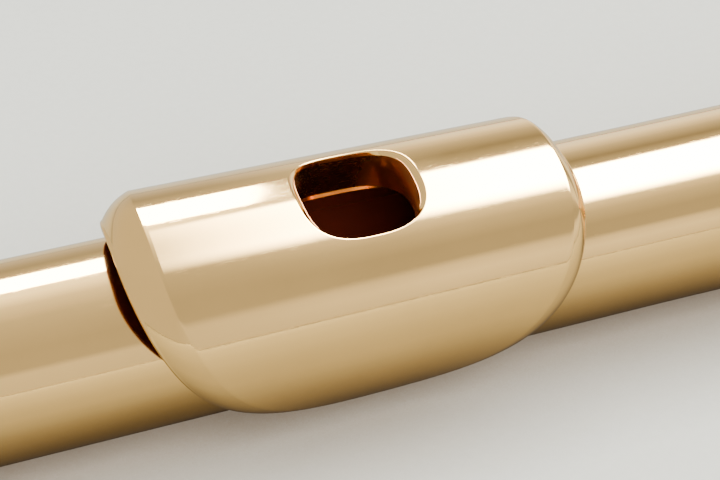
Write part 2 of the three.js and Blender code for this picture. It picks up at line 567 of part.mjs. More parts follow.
function footJoint() {
  const group = new THREE.Group();
  const { eFlat, cSharp, c } = FOOT_KEYS;
  const outer = lathe([
    [0, FOOT_START], [BODY_R, FOOT_START], [BODY_R, FOOT_RING], [SLEEVE_R, FOOT_RING],
    [SLEEVE_R, FOOT_END], [0, FOOT_END],
  ], TUBE_SIDES);
  const bore = bar(BODY_R - BODY_WALL, [FOOT_START - 1, FOOT_END + 1], [0, 0], TUBE_SIDES);
  const holes = [eFlat, cSharp, c].map((x) => ({ x, turn: 0, r: chimneyRadius(FOOT_CUP.pad) }));
  group.add(mesh('foot_tube', tubeWithHoles(outer, bore, holes), gold()));
  group.add(mesh('foot_socket', sleeveWithRings(SOCKET), gold()));

  const posts = FOOT_POSTS.map((x) => ({ x, line: MAIN_LINE }));
  group.add(mesh('foot_rib', ribWithPosts([SOCKET[1] + 0.8, FOOT_POSTS[2] + 2], posts), gold()));
  group.add(mesh('foot_rod', bar(ROD_R, [FOOT_POSTS[0] - 1.5, FOOT_POSTS[1] - 0.4], MAIN_LINE), steel()));

  const eFlatTube = [FOOT_POSTS[0] + 1.9, FOOT_POSTS[1] - 1.9];
  const spatula = lever(eFlat, MAIN_LINE, 9.5, 0.8, [7, 4]);
  addCupKey(group, { name: 'e_flat', x: eFlat, ...FOOT_CUP, tube: eFlatTube }, MAIN_LINE, 0, [spatula]);

  // The C key is a rod through the C sharp key's tube, with a hub at each end.
  const touchC = FOOT_POSTS[1] + 5.3;
  const hubC = [FOOT_POSTS[1] + 1.9, touchC + 3.3];
  const tubeCSharp = [hubC[1] + 0.4, cSharp + 12];
  const touchCSharp = tubeCSharp[0] + 3.2;
  const tailC = [tubeCSharp[1] + 0.4, FOOT_POSTS[2] - 1.9];
  const extrasCSharp = [rollerTouch(touchCSharp)];
  addCupKey(group, { name: 'foot_c_sharp', x: cSharp, ...FOOT_CUP, tube: tubeCSharp }, MAIN_LINE, OPEN, extrasCSharp);
  const bodyC = union(
    cup(c, FOOT_CUP.cup), arm(c, MAIN_LINE), rollerTouch(touchC),
    hingeTube(hubC, MAIN_LINE), hingeTube(tailC, MAIN_LINE),
    bar(ROD_R, [FOOT_POSTS[1] + 0.1, FOOT_POSTS[2] + 1], MAIN_LINE));
  group.add(swung('key_foot_c', bodyC, gold(), MAIN_LINE, OPEN));
  group.add(swung('pad_foot_c', pad(c, FOOT_CUP.pad), padSkin(), MAIN_LINE, OPEN));
  addRoller(group, 'roller_c', touchC);
  addRoller(group, 'roller_c_sharp', touchCSharp);
  return group;
}

// ---- the whole flute ----------------------------------------------------------------------
const flute = new THREE.Group();
const head = headJoint();
head.rotation.x = HEAD_ROLL;
const body = bodyJoint();
body.rotation.x = BODY_ROLL;
const foot = footJoint();
foot.rotation.x = BODY_ROLL;
flute.add(head, body, foot);

// Stand it on its lowest point, with the origin at the middle of its length and width.
flute.updateMatrixWorld(true);
const bounds = new THREE.Box3().setFromObject(flute, true);
const middle = bounds.getCenter(new THREE.Vector3());
flute.position.set(-middle.x, -middle.y, -bounds.min.z);

export default flute;
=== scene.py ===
"""Looks of a concert flute in polished rose gold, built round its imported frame.

Shapes are worked out in millimetres about the flute's own axis: x runs from the embouchure hole
towards the foot, and a place round the tube is a turn from the top towards the player and a
radius. They are rolled and moved into the frame, in metres, as each mesh is made.
"""
import json
import math

import bmesh
import bpy
import numpy as np
from mathutils import Matrix, Vector


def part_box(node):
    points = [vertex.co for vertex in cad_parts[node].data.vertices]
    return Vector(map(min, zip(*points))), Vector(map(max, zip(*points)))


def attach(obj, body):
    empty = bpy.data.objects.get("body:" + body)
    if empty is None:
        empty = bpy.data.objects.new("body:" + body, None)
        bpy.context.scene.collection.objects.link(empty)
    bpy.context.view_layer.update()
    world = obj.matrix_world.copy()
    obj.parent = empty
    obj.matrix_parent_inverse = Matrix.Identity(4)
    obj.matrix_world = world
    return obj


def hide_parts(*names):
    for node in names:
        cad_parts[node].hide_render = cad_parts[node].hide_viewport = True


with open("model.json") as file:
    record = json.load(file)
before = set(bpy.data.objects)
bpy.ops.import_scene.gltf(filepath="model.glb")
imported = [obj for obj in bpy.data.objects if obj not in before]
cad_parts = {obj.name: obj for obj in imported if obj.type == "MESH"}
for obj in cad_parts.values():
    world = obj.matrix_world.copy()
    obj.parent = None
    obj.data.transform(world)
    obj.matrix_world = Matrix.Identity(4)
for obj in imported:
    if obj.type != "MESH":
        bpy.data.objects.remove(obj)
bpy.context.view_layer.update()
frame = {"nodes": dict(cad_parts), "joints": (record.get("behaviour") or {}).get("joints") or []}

# ---- layout, in millimetres ----------------------------------------------------------------
MM = 0.001
rad = math.radians
HEAD_ROLL = rad(15)
BODY_ROLL = rad(-18)
HEAD_START, HEAD_TAPER, HEAD_END = -40.0, (32.0, 150.0), 175.0
BODY_START, BODY_END = 176.0, 491.5
FOOT_START, FOOT_RING, FOOT_END = 492.0, 602.0, 605.0
CROWN_END = -52.5
STOPPER_FACE = -17.6
HEAD_R, BODY_R = 9.1, 9.9
WALL = 0.42
SLEEVE_BORE, SLEEVE_R, RING_R = 10.2, 10.9, 11.65
BARREL, SOCKET = (143.0, 180.0), (480.0, 497.0)
RIM_HEIGHT = 11.3
CUP_TOP, CUP_DEPTH = 15.0, 2.4
PAD_LOW, PAD_HIGH = 11.55, 13.9
HINGE_R, TRILL_R, ROD_R, TRILL_ROD_R = 1.8, 1.6, 0.95, 0.85
OPEN, THUMB_OPEN = rad(8.5), rad(8)
THUMB_TURN, G_SHARP_TURN = rad(108), rad(-58)
RIB_TURN = rad(58)
MAIN_POSTS = (227.0, 287.0, 350.0, 399.7, 476.5)
G_SHARP_POSTS = (350.0, 399.7)
TRILL_POSTS = (187.5, 461.0)
THUMB_POSTS = (266.0, 296.0)
FOOT_POSTS = (499.5, 517.2, 581.0)
ROD_JOIN = 350.0
D_TRILL_TOUCH, D_SHARP_TRILL_TOUCH = 426.0, 453.0
GAP = 0.2

low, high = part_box("head_tube")
AXIS = np.array([low.x / MM - HEAD_START, (low.y + high.y) / 2 / MM, (low.z + high.z) / 2 / MM])
JOINTS = {joint["name"]: joint for joint in frame["joints"]}


def turn_matrix(turn):
    """Rotation about X."""
    c, s = math.cos(turn), math.sin(turn)
    return np.array([[1, 0, 0], [0, c, -s], [0, s, c]])


def across(turn, r):
    """Place [y, z] at a turn towards the player and a radius; both may be arrays."""
    return np.stack([-r * np.sin(turn), r * np.cos(turn)], -1)


def hinge_line(joint, roll=BODY_ROLL):
    """Hinge line [y, z] of a joint, about the flute's axis before the roll."""
    place = np.array(JOINTS[joint]["pos_m"]) / MM - AXIS
    return (turn_matrix(-roll) @ place)[1:]


def station(node):
    """Place along the tube of a round node's middle."""
    lowest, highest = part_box(node)
    return (lowest.x + highest.x) / 2 / MM - AXIS[0]


def radius_of(node):
    """Radius of a node that is round about an upright or tilted line, half its length along X."""
    lowest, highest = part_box(node)
    return (highest.x - lowest.x) / 2 / MM


def hinge_span(node, line, roll, reach=2.0):
    """Ends along X of a node's hinge tube: its corners that lie within reach of the hinge line."""
    mesh = frame["nodes"][node].data
    corners = np.empty(len(mesh.vertices) * 3)
    mesh.vertices.foreach_get("co", corners)
    corners = (corners.reshape(-1, 3) / MM - AXIS) @ turn_matrix(-roll).T
    near = np.hypot(*(corners[:, 1:] - line).T) < reach
    return corners[near, 0].min(), corners[near, 0].max()


# ---- surfaces ------------------------------------------------------------------------------
def grid(points, closed=(False, True)):
    """Quads over a two-parameter grid of points; a closed direction joins its end to its start."""
    index = np.arange(points.shape[0] * points.shape[1]).reshape(points.shape[:2])
    if closed[0]:
        index = np.vstack([index, index[:1]])
    if closed[1]:
        index = np.hstack([index, index[:, :1]])
    quads = np.stack([index[:-1, :-1], index[1:, :-1], index[1:, 1:], index[:-1, 1:]], -1)
    return points.reshape(-1, 3), quads.reshape(-1, 4)


def merged(parts):
    """Several (points, quads) pairs as one."""
    starts = np.cumsum([0] + [len(points) for points, _ in parts[:-1]])
    return (np.vstack([points for points, _ in parts]),
            np.vstack([quads + start for (_, quads), start in zip(parts, starts)]))


def moved(part, matrix=None, shift=(0, 0, 0)):
    """A part turned by a matrix and then shifted."""
    points, quads = part
    turned = points if matrix is None else points @ matrix.T
    return turned + np.array(shift, float), quads


def swung(part, line, angle):
    """A part turned about a hinge line along X."""
    centre = np.array([0, *line])
    points, quads = part
    return (points - centre) @ turn_matrix(angle).T + centre, quads


def signed_power(value, power):
    """Power of the size of a value, with the sign kept."""
    return np.sign(value) * np.abs(value) ** power


def rounded(outline, radius, steps=5, closed=True):
    """Outline with each corner replaced by a short parabola that starts and ends radius away."""
    points = np.asarray(outline, float)
    radii = np.broadcast_to(radius, len(points))
    t = np.linspace(0, 1, steps + 1)[:, None]
    out = []
    for i, corner in enumerate(points):
        if not closed and i in (0, len(points) - 1):
            out.append(corner[None])
            continue
        before, after = points[i - 1] - corner, points[(i + 1) % len(points)] - corner
        lengths = np.hypot(*before), np.hypot(*after)
        reach = min(radii[i], 0.48 * lengths[0], 0.48 * lengths[1])
        start, end = corner + before / lengths[0] * reach, corner + after / lengths[1] * reach
        out.append((1 - t) ** 2 * start + 2 * t * (1 - t) * corner + t ** 2 * end)
    return np.vstack(out)


def curve(points, count):
    """Smooth line through points, as Catmull-Rom pieces, at count even steps of its parameter."""
    knots = np.asarray(points, float)
    padded = np.vstack([2 * knots[0] - knots[1], knots, 2 * knots[-1] - knots[-2]])
    u = np.linspace(0, len(knots) - 1 - 1e-9, count)
    i = u.astype(int)
    t = (u - i)[:, None]
    a, b, c, d = padded[i], padded[i + 1], padded[i + 2], padded[i + 3]
    return 0.5 * (2 * b + (c - a) * t + (2 * a - 5 * b + 4 * c - d) * t ** 2
                  + (3 * b - a - 3 * c + d) * t ** 3)


def spin_x(profile, sides, line=(0, 0), ring=True):
    """Profile of [radius, x] carried round an axis along X: each point becomes a circle."""
    r, x = np.asarray(profile, float).T
    a = np.arange(sides) * 2 * np.pi / sides
    points = np.stack([np.broadcast_to(x[:, None], (len(x), sides)),
                       line[0] + np.outer(r, np.cos(a)), line[1] + np.outer(r, np.sin(a))], -1)
    return grid(points, (ring, True))


def spin_z(profile, sides, x=0.0, ring=False):
    """Profile of [radius, z] carried round an upright axis at a station."""
    r, z = np.asarray(profile, float).T
    a = np.arange(sides) * 2 * np.pi / sides
    points = np.stack([x + np.outer(r, np.cos(a)), np.outer(r, np.sin(a)),
                       np.broadcast_to(z[:, None], (len(z), sides))], -1)
    return grid(points, (ring, True))


def rod(r, x0, x1, line=(0, 0), sides=24, chamfer=0.15):
    """Solid round bar along X with softened ends."""
    outline = rounded([[0, x0], [r, x0], [r, x1], [0, x1]], chamfer, 2, closed=False)
    return spin_x(outline, sides, line, ring=False)


def tube(inner, outer, x0, x1, line=(0, 0), sides=32, chamfer=0.2):
    """Hollow round bar along X with softened ends."""
    return spin_x(rounded([[inner, x0], [outer, x0], [outer, x1], [inner, x1]], chamfer, 2), sides, line)


def strap(path, half_width, half_height, x=0.0, count=40, around=20, power=3.0):
    """Bar whose superellipse section is carried along a smooth path of [y, z] places at a station.
    Widths (along X) and heights are given at the path's points, and the ends close to a point."""
    sizes = np.broadcast_to(half_width, len(path)), np.broadcast_to(half_height, len(path))
    line = curve(np.column_stack([path, *sizes]), count)
    place, width, height = line[:, :2], line[:, 2], line[:, 3]
    along = np.gradient(place, axis=0)
    along /= np.hypot(*along.T)[:, None]
    normal = np.column_stack([-along[:, 1], along[:, 0]])
    soft = np.sqrt(1 - np.linspace(1, 0, 6) ** 2)
    fade = np.ones(count)
    fade[:6], fade[-6:] = soft, soft[::-1]
    a = np.arange(around) * 2 * np.pi / around
    side = signed_power(np.cos(a), 2 / power)
    rise = signed_power(np.sin(a), 2 / power)
    offset = (height * fade)[:, None, None] * rise[None, :, None] * normal[:, None, :]
    yz = place[:, None, :] + offset
    xs = x + (width * fade)[:, None] * side[None, :]
    return grid(np.concatenate([xs[..., None], yz], -1))


def pebble(half_x, half_y, half_z, power=2.6, dome=0.0, sides=48, edge=0.35):
    """Finger plate about the origin: a superellipse outline, a rounded edge and a domed top."""
    outline = rounded([[0, -half_z], [1, -half_z], [1, half_z], [0, half_z]],
                      [0, 0.14, edge, 0], 6, closed=False)
    inner = np.linspace(1, 0, 6)[1:, None] * [1, 1]
    top = np.column_stack([inner[:, 0] * outline[-2, 0], np.full(5, half_z)])
    share, z = np.vstack([outline[:-1], top]).T
    a = np.arange(sides) * 2 * np.pi / sides
    x = half_x * signed_power(np.cos(a), 2 / power)
    y = half_y * signed_power(np.sin(a), 2 / power)
    lift = z + np.where(z > 0, dome * (1 - share ** 2), 0)
    points = np.stack([np.outer(share, x), np.outer(share, y),
                       np.broadcast_to(lift[:, None], (len(share), sides))], -1)
    return grid(points)


def pierced_tube(stations, outer, inner, opening, sides=96):
    """Tube along X whose wall is open about its top: at each station the opening takes a half
    angle, and the outer and inner walls run round from one edge of it to the other."""
    share = np.linspace(0, 1, sides + 1)
    turn = opening[:, None] + (2 * np.pi - 2 * opening[:, None]) * share
    walls = []
    for r in (outer, inner):
        places = across(turn, r[:, None])
        xs = np.broadcast_to(stations[:, None, None], (*turn.shape, 1))
        walls.append(np.concatenate([xs, places], -1))
    out, inn = walls
    parts = [grid(out, (False, False)), grid(inn[:, ::-1], (False, False))]
    for column in (0, -1):
        parts.append(grid(np.stack([out[:, column], inn[:, column]], 1), (False, False)))
    for row in (0, -1):
        parts.append(grid(np.stack([out[row], inn[row]], 0), (False, False)))
    shut = (opening[:-1] <= 0) & (opening[1:] <= 0)
    for k in (2, 3):
        points, quads = parts[k]
        parts[k] = points, quads[~shut]
    return merged(parts)


def collar(x, r, turn=0.0, tube_r=BODY_R, wall=0.5, fillet=1.1, sides=72):
    """Drawn chimney of a tone hole: a flare that leaves the tube, an upright wall, a rolled rim
    and the inner wall down to the bore. Heights run between the tube's own and the rim's."""
    a = np.arange(sides) * 2 * np.pi / sides
    t = np.linspace(0, np.pi / 2, 7)
    rim = rounded([[r, 0.6], [r, 1], [r - wall, 1], [r - wall, 0.6]], 0.22, 4, closed=False)
    distance = np.concatenate([r + fillet * (1 - np.sin(t)), rim[:, 0], [r - wall]])
    rise = np.concatenate([0.45 * (1 - np.cos(t)), rim[:, 1], [0.0]])
    xs, ys = np.outer(distance, np.cos(a)), np.outer(distance, np.sin(a))
    base = np.full(len(distance), tube_r - 0.06)
    base[-1] = tube_r - WALL - 0.1
    seat = np.sqrt(np.maximum(base[:, None] ** 2 - ys ** 2, 0.01))
    zs = seat + (RIM_HEIGHT - seat) * rise[:, None]
    return moved(grid(np.stack([x + xs, ys, zs], -1), (True, True)), turn_matrix(turn))


# ---- materials -----------------------------------------------------------------------------
def node(tree, kind, **values):
    """A shader node with its properties or, where there is no such property, its inputs set."""
    made = tree.nodes.new(kind)
    for name, value in values.items():
        if hasattr(made, name):
            setattr(made, name, value)
        else:
            made.inputs[name.replace("_", " ")].default_value = value
    return made


def link(tree, output, target):
    """Join an output socket to an input socket."""
    tree.links.new(output, target)


def calc(tree, operation, *values, clamp=False):
    """Result of a Math node on sockets and plain numbers, in order."""
    made = node(tree, "ShaderNodeMath", operation=operation, use_clamp=clamp)
    for socket, value in zip(made.inputs, values):
        if isinstance(value, (int, float)):
            socket.default_value = value
        else:
            link(tree, value, socket)
    return made.outputs["Value"]


def spread(tree, value, start, end, smooth=False):
    """A socket's value from start to end brought to 0 to 1, and held there outside."""
    kind = "SMOOTHSTEP" if smooth else "LINEAR"
    made = node(tree, "ShaderNodeMapRange", interpolation_type=kind, From_Min=start, From_Max=end)
    link(tree, value, made.inputs["Value"])
    return made.outputs["Result"]


def tone_ramp(tree, share, levels, tint):
    """Tinted brightness by a share from 0 to 1: levels are (share, brightness) in rising order."""
    made = node(tree, "ShaderNodeValToRGB")
    stops = made.color_ramp.elements
    for k, (at, level) in enumerate(levels):
        stop = stops[k] if k < 2 else stops.new(at)
        stop.position = at
        stop.color = (*(level * part for part in tint), 1)
    link(tree, share, made.inputs["Fac"])
    return made.outputs["Color"]


def add_relief(tree, surface, height, strength, distance=0.0002):
    """Bump from a height socket on a material's surface."""
    relief = node(tree, "ShaderNodeBump", Strength=strength, Distance=distance)
    link(tree, height, relief.inputs["Height"])
    link(tree, relief.outputs["Normal"], surface.inputs["Normal"])


def new_group(name, inputs, outputs):
    """An empty shader node group with its sockets: inputs are name to value, outputs name to kind."""
    group = bpy.data.node_groups.new(name, "ShaderNodeTree")
    for label, value in inputs.items():
        socket = group.interface.new_socket(label, in_out="INPUT", socket_type="NodeSocketFloat")
        socket.default_value = value
    for label, kind in outputs.items():
        group.interface.new_socket(label, in_out="OUTPUT", socket_type=kind)
    return group, group.nodes.new("NodeGroupInput"), group.nodes.new("NodeGroupOutput")


def polish_group():
    """Hand-polished metal: fine scratches along and round the piece, soft cloudy haze and faint
    unevenness. Gives a haze mask, a scratch mask and a height for bump."""
    group, inside, out = new_group(
        "hand_polish", {"Haze Scale": 90.0, "Scratch Scale": 700.0},
        {"Haze": "NodeSocketFloat", "Scratches": "NodeSocketFloat", "Height": "NodeSocketFloat"})
    where = group.nodes.new("ShaderNodeTexCoord").outputs["Object"]
    haze = node(group, "ShaderNodeTexNoise", Detail=4.0, Roughness=0.6)
    link(group, where, haze.inputs["Vector"])
    link(group, inside.outputs["Haze Scale"], haze.inputs["Scale"])
    link(group, spread(group, haze.outputs["Fac"], 0.35, 0.75), out.inputs["Haze"])
    stretched = node(group, "ShaderNodeMapping")
    stretched.inputs["Scale"].default_value = (1.0, 14.0, 14.0)
    stretched.inputs["Rotation"].default_value = (0.0, 0.12, 0.2)
    link(group, where, stretched.inputs["Vector"])
    lines = node(group, "ShaderNodeTexNoise", Detail=2.0, Roughness=0.7)
    link(group, stretched.outputs["Vector"], lines.inputs["Vector"])
    link(group, inside.outputs["Scratch Scale"], lines.inputs["Scale"])
    thin = spread(group, lines.outputs["Fac"], 0.62, 0.72)
    link(group, thin, out.inputs["Scratches"])
    link(group, calc(group, "MULTIPLY_ADD", thin, -0.4, haze.outputs["Fac"]), out.inputs["Height"])
    return group


def wear_and_shade_group():
    """Edge wear and painted crease shade: the sharp outer edges, from the surface's pointiness, and
    the creases between pieces, from nearby shade, each broken up by noise. The crease mask paints
    shade into a material's colour."""
    group, inside, out = new_group(
        "edge_wear_and_crease_shade", {"Noise Scale": 400.0, "Reach": 0.0015},
        {"Edges": "NodeSocketFloat", "Creases": "NodeSocketFloat"})
    where = group.nodes.new("ShaderNodeTexCoord").outputs["Object"]
    noise = node(group, "ShaderNodeTexNoise", Detail=3.0)
    link(group, where, noise.inputs["Vector"])
    link(group, inside.outputs["Noise Scale"], noise.inputs["Scale"])
    shape = group.nodes.new("ShaderNodeNewGeometry")
    edge = spread(group, shape.outputs["Pointiness"], 0.52, 0.62)
    link(group, calc(group, "MULTIPLY", edge, noise.outputs["Fac"]), out.inputs["Edges"])
    # crease mask from ambient occlusion, used as painted shade in the colour
    shade = node(group, "ShaderNodeAmbientOcclusion", samples=4)
    link(group, inside.outputs["Reach"], shade.inputs["Distance"])
    crease = calc(group, "SUBTRACT", 1.0, shade.outputs["AO"])
    link(group, calc(group, "MULTIPLY", crease, noise.outputs["Fac"]), out.inputs["Creases"])
    return group


def mix_colours(tree, factor, first, second):
    """Blend of two colours, each a socket or a plain colour, by a factor socket."""
    mix = node(tree, "ShaderNodeMix", data_type="RGBA")
    link(tree, factor, mix.inputs["Factor"])
    for socket, value in ((mix.inputs["A"], first), (mix.inputs["B"], second)):
        if isinstance(value, tuple):
            socket.default_value = (*value, 1)
        else:
            link(tree, value, socket)
    return mix.outputs["Result"]


def new_material(name):
    """A node material, its tree and its surface shader."""
    material = bpy.data.materials.new(name)
    material.use_nodes = True
    return material, material.node_tree, material.node_tree.nodes["Principled BSDF"]


def inside_group():
    """Mask of the surfaces that face the flute's axis: 0 where the normal points away from the axis
    or along it, 1 where it points to the axis."""
    group, _, out = new_group("inside_faces", {}, {"Inside": "NodeSocketFloat"})
    offset = node(group, "ShaderNodeVectorMath", operation="SUBTRACT")
    link(group, group.nodes.new("ShaderNodeTexCoord").outputs["Object"], offset.inputs[0])
    offset.inputs[1].default_value = (0, AXIS[1] * MM, AXIS[2] * MM)
    across_it = node(group, "ShaderNodeVectorMath", operation="MULTIPLY")
    link(group, offset.outputs["Vector"], across_it.inputs[0])
    across_it.inputs[1].default_value = (0, 1, 1)
    unit = node(group, "ShaderNodeVectorMath", operation="NORMALIZE")
    link(group, across_it.outputs["Vector"], unit.inputs[0])
    facing = node(group, "ShaderNodeVectorMath", operation="DOT_PRODUCT")
    link(group, unit.outputs["Vector"], facing.inputs[0])
    link(group, group.nodes.new("ShaderNodeNewGeometry").outputs["True Normal"], facing.inputs[1])
    link(group, spread(group, facing.outputs["Value"], -0.3, -0.6), out.inputs["Inside"])
    return group


def polished_metal(name, colour, crease_shade, rough, scratch=0.5, bump=0.02, inside=None):
    """Polished metal: a clear colour that deepens to a second, darker colour in creases, painted shade
    from nearby ambient occlusion, with roughness that drifts with the haze and rises on scratches
    and worn edges. The surfaces that face the axis can be given a dark colour of painted shade, for
    the bore and the plate's underside, and less shine."""
    material, tree, surface = new_material(name)
    polish = node(tree, "ShaderNodeGroup", node_tree=POLISH)
    wear_and_shade = node(tree, "ShaderNodeGroup", node_tree=WEAR_AND_SHADE)
    toned = tuple(0.93 * part for part in colour)
    base = mix_colours(tree, polish.outputs["Haze"], colour, toned)
    # painted shade: the base colour darkens to the crease colour where ambient occlusion finds creases
    base = mix_colours(tree, wear_and_shade.outputs["Creases"], base, crease_shade)
    if inside:
        # painted shade: surfaces that face the axis, such as the bore and the plate's underside, take the
        # dark inside colour
        within = node(tree, "ShaderNodeGroup", node_tree=INSIDE).outputs["Inside"]
        base = mix_colours(tree, within, base, inside)
        link(tree, calc(tree, "MULTIPLY_ADD", within, -0.65, 1.0), surface.inputs["Metallic"])
    else:
        surface.inputs["Metallic"].default_value = 1.0
    link(tree, base, surface.inputs["Base Color"])
    drift = calc(tree, "MULTIPLY_ADD", polish.outputs["Haze"], rough * 0.7, rough)
    marked = calc(tree, "MULTIPLY_ADD", polish.outputs["Scratches"], scratch * 0.12, drift)
    edged = calc(tree, "MULTIPLY_ADD", wear_and_shade.outputs["Edges"], 0.1, marked, clamp=True)
    link(tree, edged, surface.inputs["Roughness"])
    add_relief(tree, surface, polish.outputs["Height"], bump)
    return material


def grained(name, dark, light, rough, scale, stretch=(1, 1, 1), bump=0.3, sheen=0.0):
    """Dull grained stuff, such as cork, felt and skin: a coarse noise mixes its dark and light tones
    and dents it, and a finer cell pattern darkens it towards the cells' edges."""
    material, tree, surface = new_material(name)
    where = node(tree, "ShaderNodeTexCoord").outputs["Object"]
    mapped = node(tree, "ShaderNodeMapping")
    mapped.inputs["Scale"].default_value = stretch
    link(tree, where, mapped.inputs["Vector"])
    coarse = node(tree, "ShaderNodeTexNoise", Scale=scale, Detail=5.0, Roughness=0.65)
    fine = node(tree, "ShaderNodeTexVoronoi", Scale=scale * 2.5)
    for texture in (coarse, fine):
        link(tree, mapped.outputs["Vector"], texture.inputs["Vector"])
    toned = mix_colours(tree, coarse.outputs["Fac"], dark, light)
    deep = tuple(0.75 * part for part in dark)
    link(tree, mix_colours(tree, fine.outputs["Distance"], toned, deep), surface.inputs["Base Color"])
    surface.inputs["Roughness"].default_value = rough
    surface.inputs["Sheen Weight"].default_value = sheen
    add_relief(tree, surface, coarse.outputs["Fac"], bump, 0.0003)
    return material


POLISH, WEAR_AND_SHADE = polish_group(), wear_and_shade_group()
INSIDE = inside_group()
# the second colour of each metal is its painted crease shade
ROSE_GOLD = polished_metal("rose_gold", (0.93, 0.59, 0.205), (0.6, 0.25, 0.07), 0.055,
                           # inside colour, a near-black maroon: painted shade on the surfaces that face the
                           # axis
                           inside=(0.11, 0.018, 0.008))
BORE_GOLD = polished_metal("bore_gold", (0.80, 0.36, 0.13), (0.3, 0.08, 0.03), 0.2, scratch=1.0)
KEY_GOLD = polished_metal("key_gold", (0.92, 0.56, 0.18), (0.55, 0.22, 0.06), 0.08, scratch=1.0)
STEEL = polished_metal("steel", (0.62, 0.63, 0.65), (0.2, 0.17, 0.14), 0.2, scratch=1.0, bump=0.05)
CORK = grained("cork", (0.28, 0.16, 0.08), (0.55, 0.36, 0.2), 0.9, 900.0)
PAD_SKIN = grained("pad_skin", (0.70, 0.60, 0.42), (0.88, 0.80, 0.62), 0.45, 500.0,
                   (1, 1, 3), bump=0.12, sheen=0.2)


# ---- finished pieces -----------------------------------------------------------------------
def piece(name, parts, material, body, roll, replaces=(), sharp=35):
    """A mesh of parts, rolled and moved into the frame, riding on a CAD body."""
    points, quads = merged(parts)
    points = (points @ turn_matrix(roll).T + AXIS) * MM
    mesh = bpy.data.meshes.new(name)
    mesh.from_pydata(points, [], quads)
    cleaned = bmesh.new()
    cleaned.from_mesh(mesh)
    bmesh.ops.remove_doubles(cleaned, verts=cleaned.verts, dist=0.0008 * MM)
    bmesh.ops.recalc_face_normals(cleaned, faces=cleaned.faces)
    cleaned.to_mesh(mesh)
    cleaned.free()
    mesh.shade_smooth()
    mesh.set_sharp_from_angle(angle=rad(sharp))
    mesh.materials.append(material)
    made = bpy.data.objects.new(name, mesh)
    bpy.context.collection.objects.link(made)
    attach(made, body)
    if replaces:
        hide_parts(*replaces)
    return made


# ---- head joint ----------------------------------------------------------------------------
HOLE = (5.95, 5.1)
HOLE_POWER = 2.75
FLARE = 0.5
SHOULDER = 1.0             # overcut of the hole's two ends, on the way down the chimney
PLATE_DEPTH = 0.13         # share of the chimney's depth that lies in the plate
PLATE_WALL = 0.5
PLATE_MID = rad(10)        # turn at which the plate is longest
PLATE_LEAN = 0.012
# half lengths towards the crown and the foot, turns reached on the player's and the far side, and
# the squareness of those two sides
PLATE_EDGE = (22.7, 20.9, rad(114), rad(106), 2.0, 2.7)
PLATE_CREASE = (19.9, 19.4, rad(109), rad(90), 2.0, 2.9)
PLATE_SECTION = [[-125, 10.0], [-110, 10.3], [-80, 11.2], [-50, 12.35], [-35, 12.95], [-20, 13.55],
                 [0, 13.7], [20, 13.6], [45, 13.1], [70, 12.45], [90, 11.9], [110, 11.2], [125, 10.6]]
PLATE_LIP = [[-125, 9.8], [-80, 10.0], [-50, 10.6], [-30, 11.1], [0, 11.8], [25, 12.2], [55, 12.1],
             [90, 11.4], [125, 10.6]]


def smooth_value(at, table):
    """Value at a place from a table of [place in degrees, value], by smooth cubic pieces."""
    places, values = np.array(table, float).T
    slopes = np.gradient(values, places)
    at = np.clip(np.degrees(at), places[0], places[-1])
    i = np.clip(np.searchsorted(places, at) - 1, 0, len(places) - 2)
    width = places[i + 1] - places[i]
    t = (at - places[i]) / width
    return ((2 * t ** 3 - 3 * t ** 2 + 1) * values[i] + (t ** 3 - 2 * t ** 2 + t) * width * slopes[i]
            + (3 * t ** 2 - 2 * t ** 3) * values[i + 1] + (t ** 3 - t ** 2) * width * slopes[i + 1])


def plate_top(x, turn):
    """Radius of the plate's face: its section, leaning a little along the tube."""
    return smooth_value(turn, PLATE_SECTION) - PLATE_LEAN * x


def even_quarter(half_x, half_turn, power, count, r=12.5):
    """Quarter of a superellipse at even steps of length, from its end on the x axis to the other."""
    a = np.linspace(0, np.pi / 2, 4000)
    x, turn = half_x * np.cos(a) ** (2 / power), half_turn * np.sin(a) ** (2 / power)
    run = np.concatenate([[0], np.cumsum(np.hypot(np.diff(x), r * np.diff(turn)))])
    even = np.linspace(0, run[-1], count, endpoint=False)
    return np.interp(even, run, x), np.interp(even, run, turn)


def oval(left, right, reach_near, reach_far, power_near, power_far, middle=0.0, count=96):
    """Closed oval on the unrolled tube, from four superellipse quarters: places along it and turns."""
    quarters = []
    for half_x, sign_x, near in ((right, 1, True), (left, -1, True), (left, -1, False), (right, 1, False)):
        reach = reach_near - middle if near else reach_far + middle
        x, turn = even_quarter(half_x, reach, power_near if near else power_far, count + 1)
        x, turn = np.append(x, 0.0), np.append(turn, reach)
        if (sign_x > 0) != near:
            x, turn = x[::-1], turn[::-1]
        quarters.append((sign_x * x[:-1], (middle + (turn if near else -turn))[:-1]))
    return tuple(np.concatenate(part) for part in zip(*quarters))


def hole_oval(grow, r=13.6):
    """Places and turns of the embouchure hole's edge, grown by an amount."""
    half = HOLE[1] + grow
    x, y = oval(HOLE[0] + grow, HOLE[0] + grow, half / r, half / r, HOLE_POWER, HOLE_POWER)
    return x, np.arcsin(np.clip(y, -1, 1))


def chimney_oval(down, wider=0.0):
    """The hole's edge on its way down the chimney: it narrows under its two ends to a shoulder,
    then flares towards the tube. Down runs from 0 at the plate's face to 1 at the tube."""
    x, turn = hole_oval(wider + FLARE * down ** 1.5)
    step = np.interp(down, [0, 0.12, 0.3, 0.45, 1], [0, 0.5, 0.9, 1.0, 0.3])
    return x - SHOULDER * step * np.sign(x) * (x / HOLE[0]) ** 2, turn


def blend_rows(first, second, shares):
    """Rows of (x, turn) between two curves at the given shares."""
    shares = np.asarray(shares)[:, None]
    return [a + (b - a) * shares for a, b in zip(first, second)]


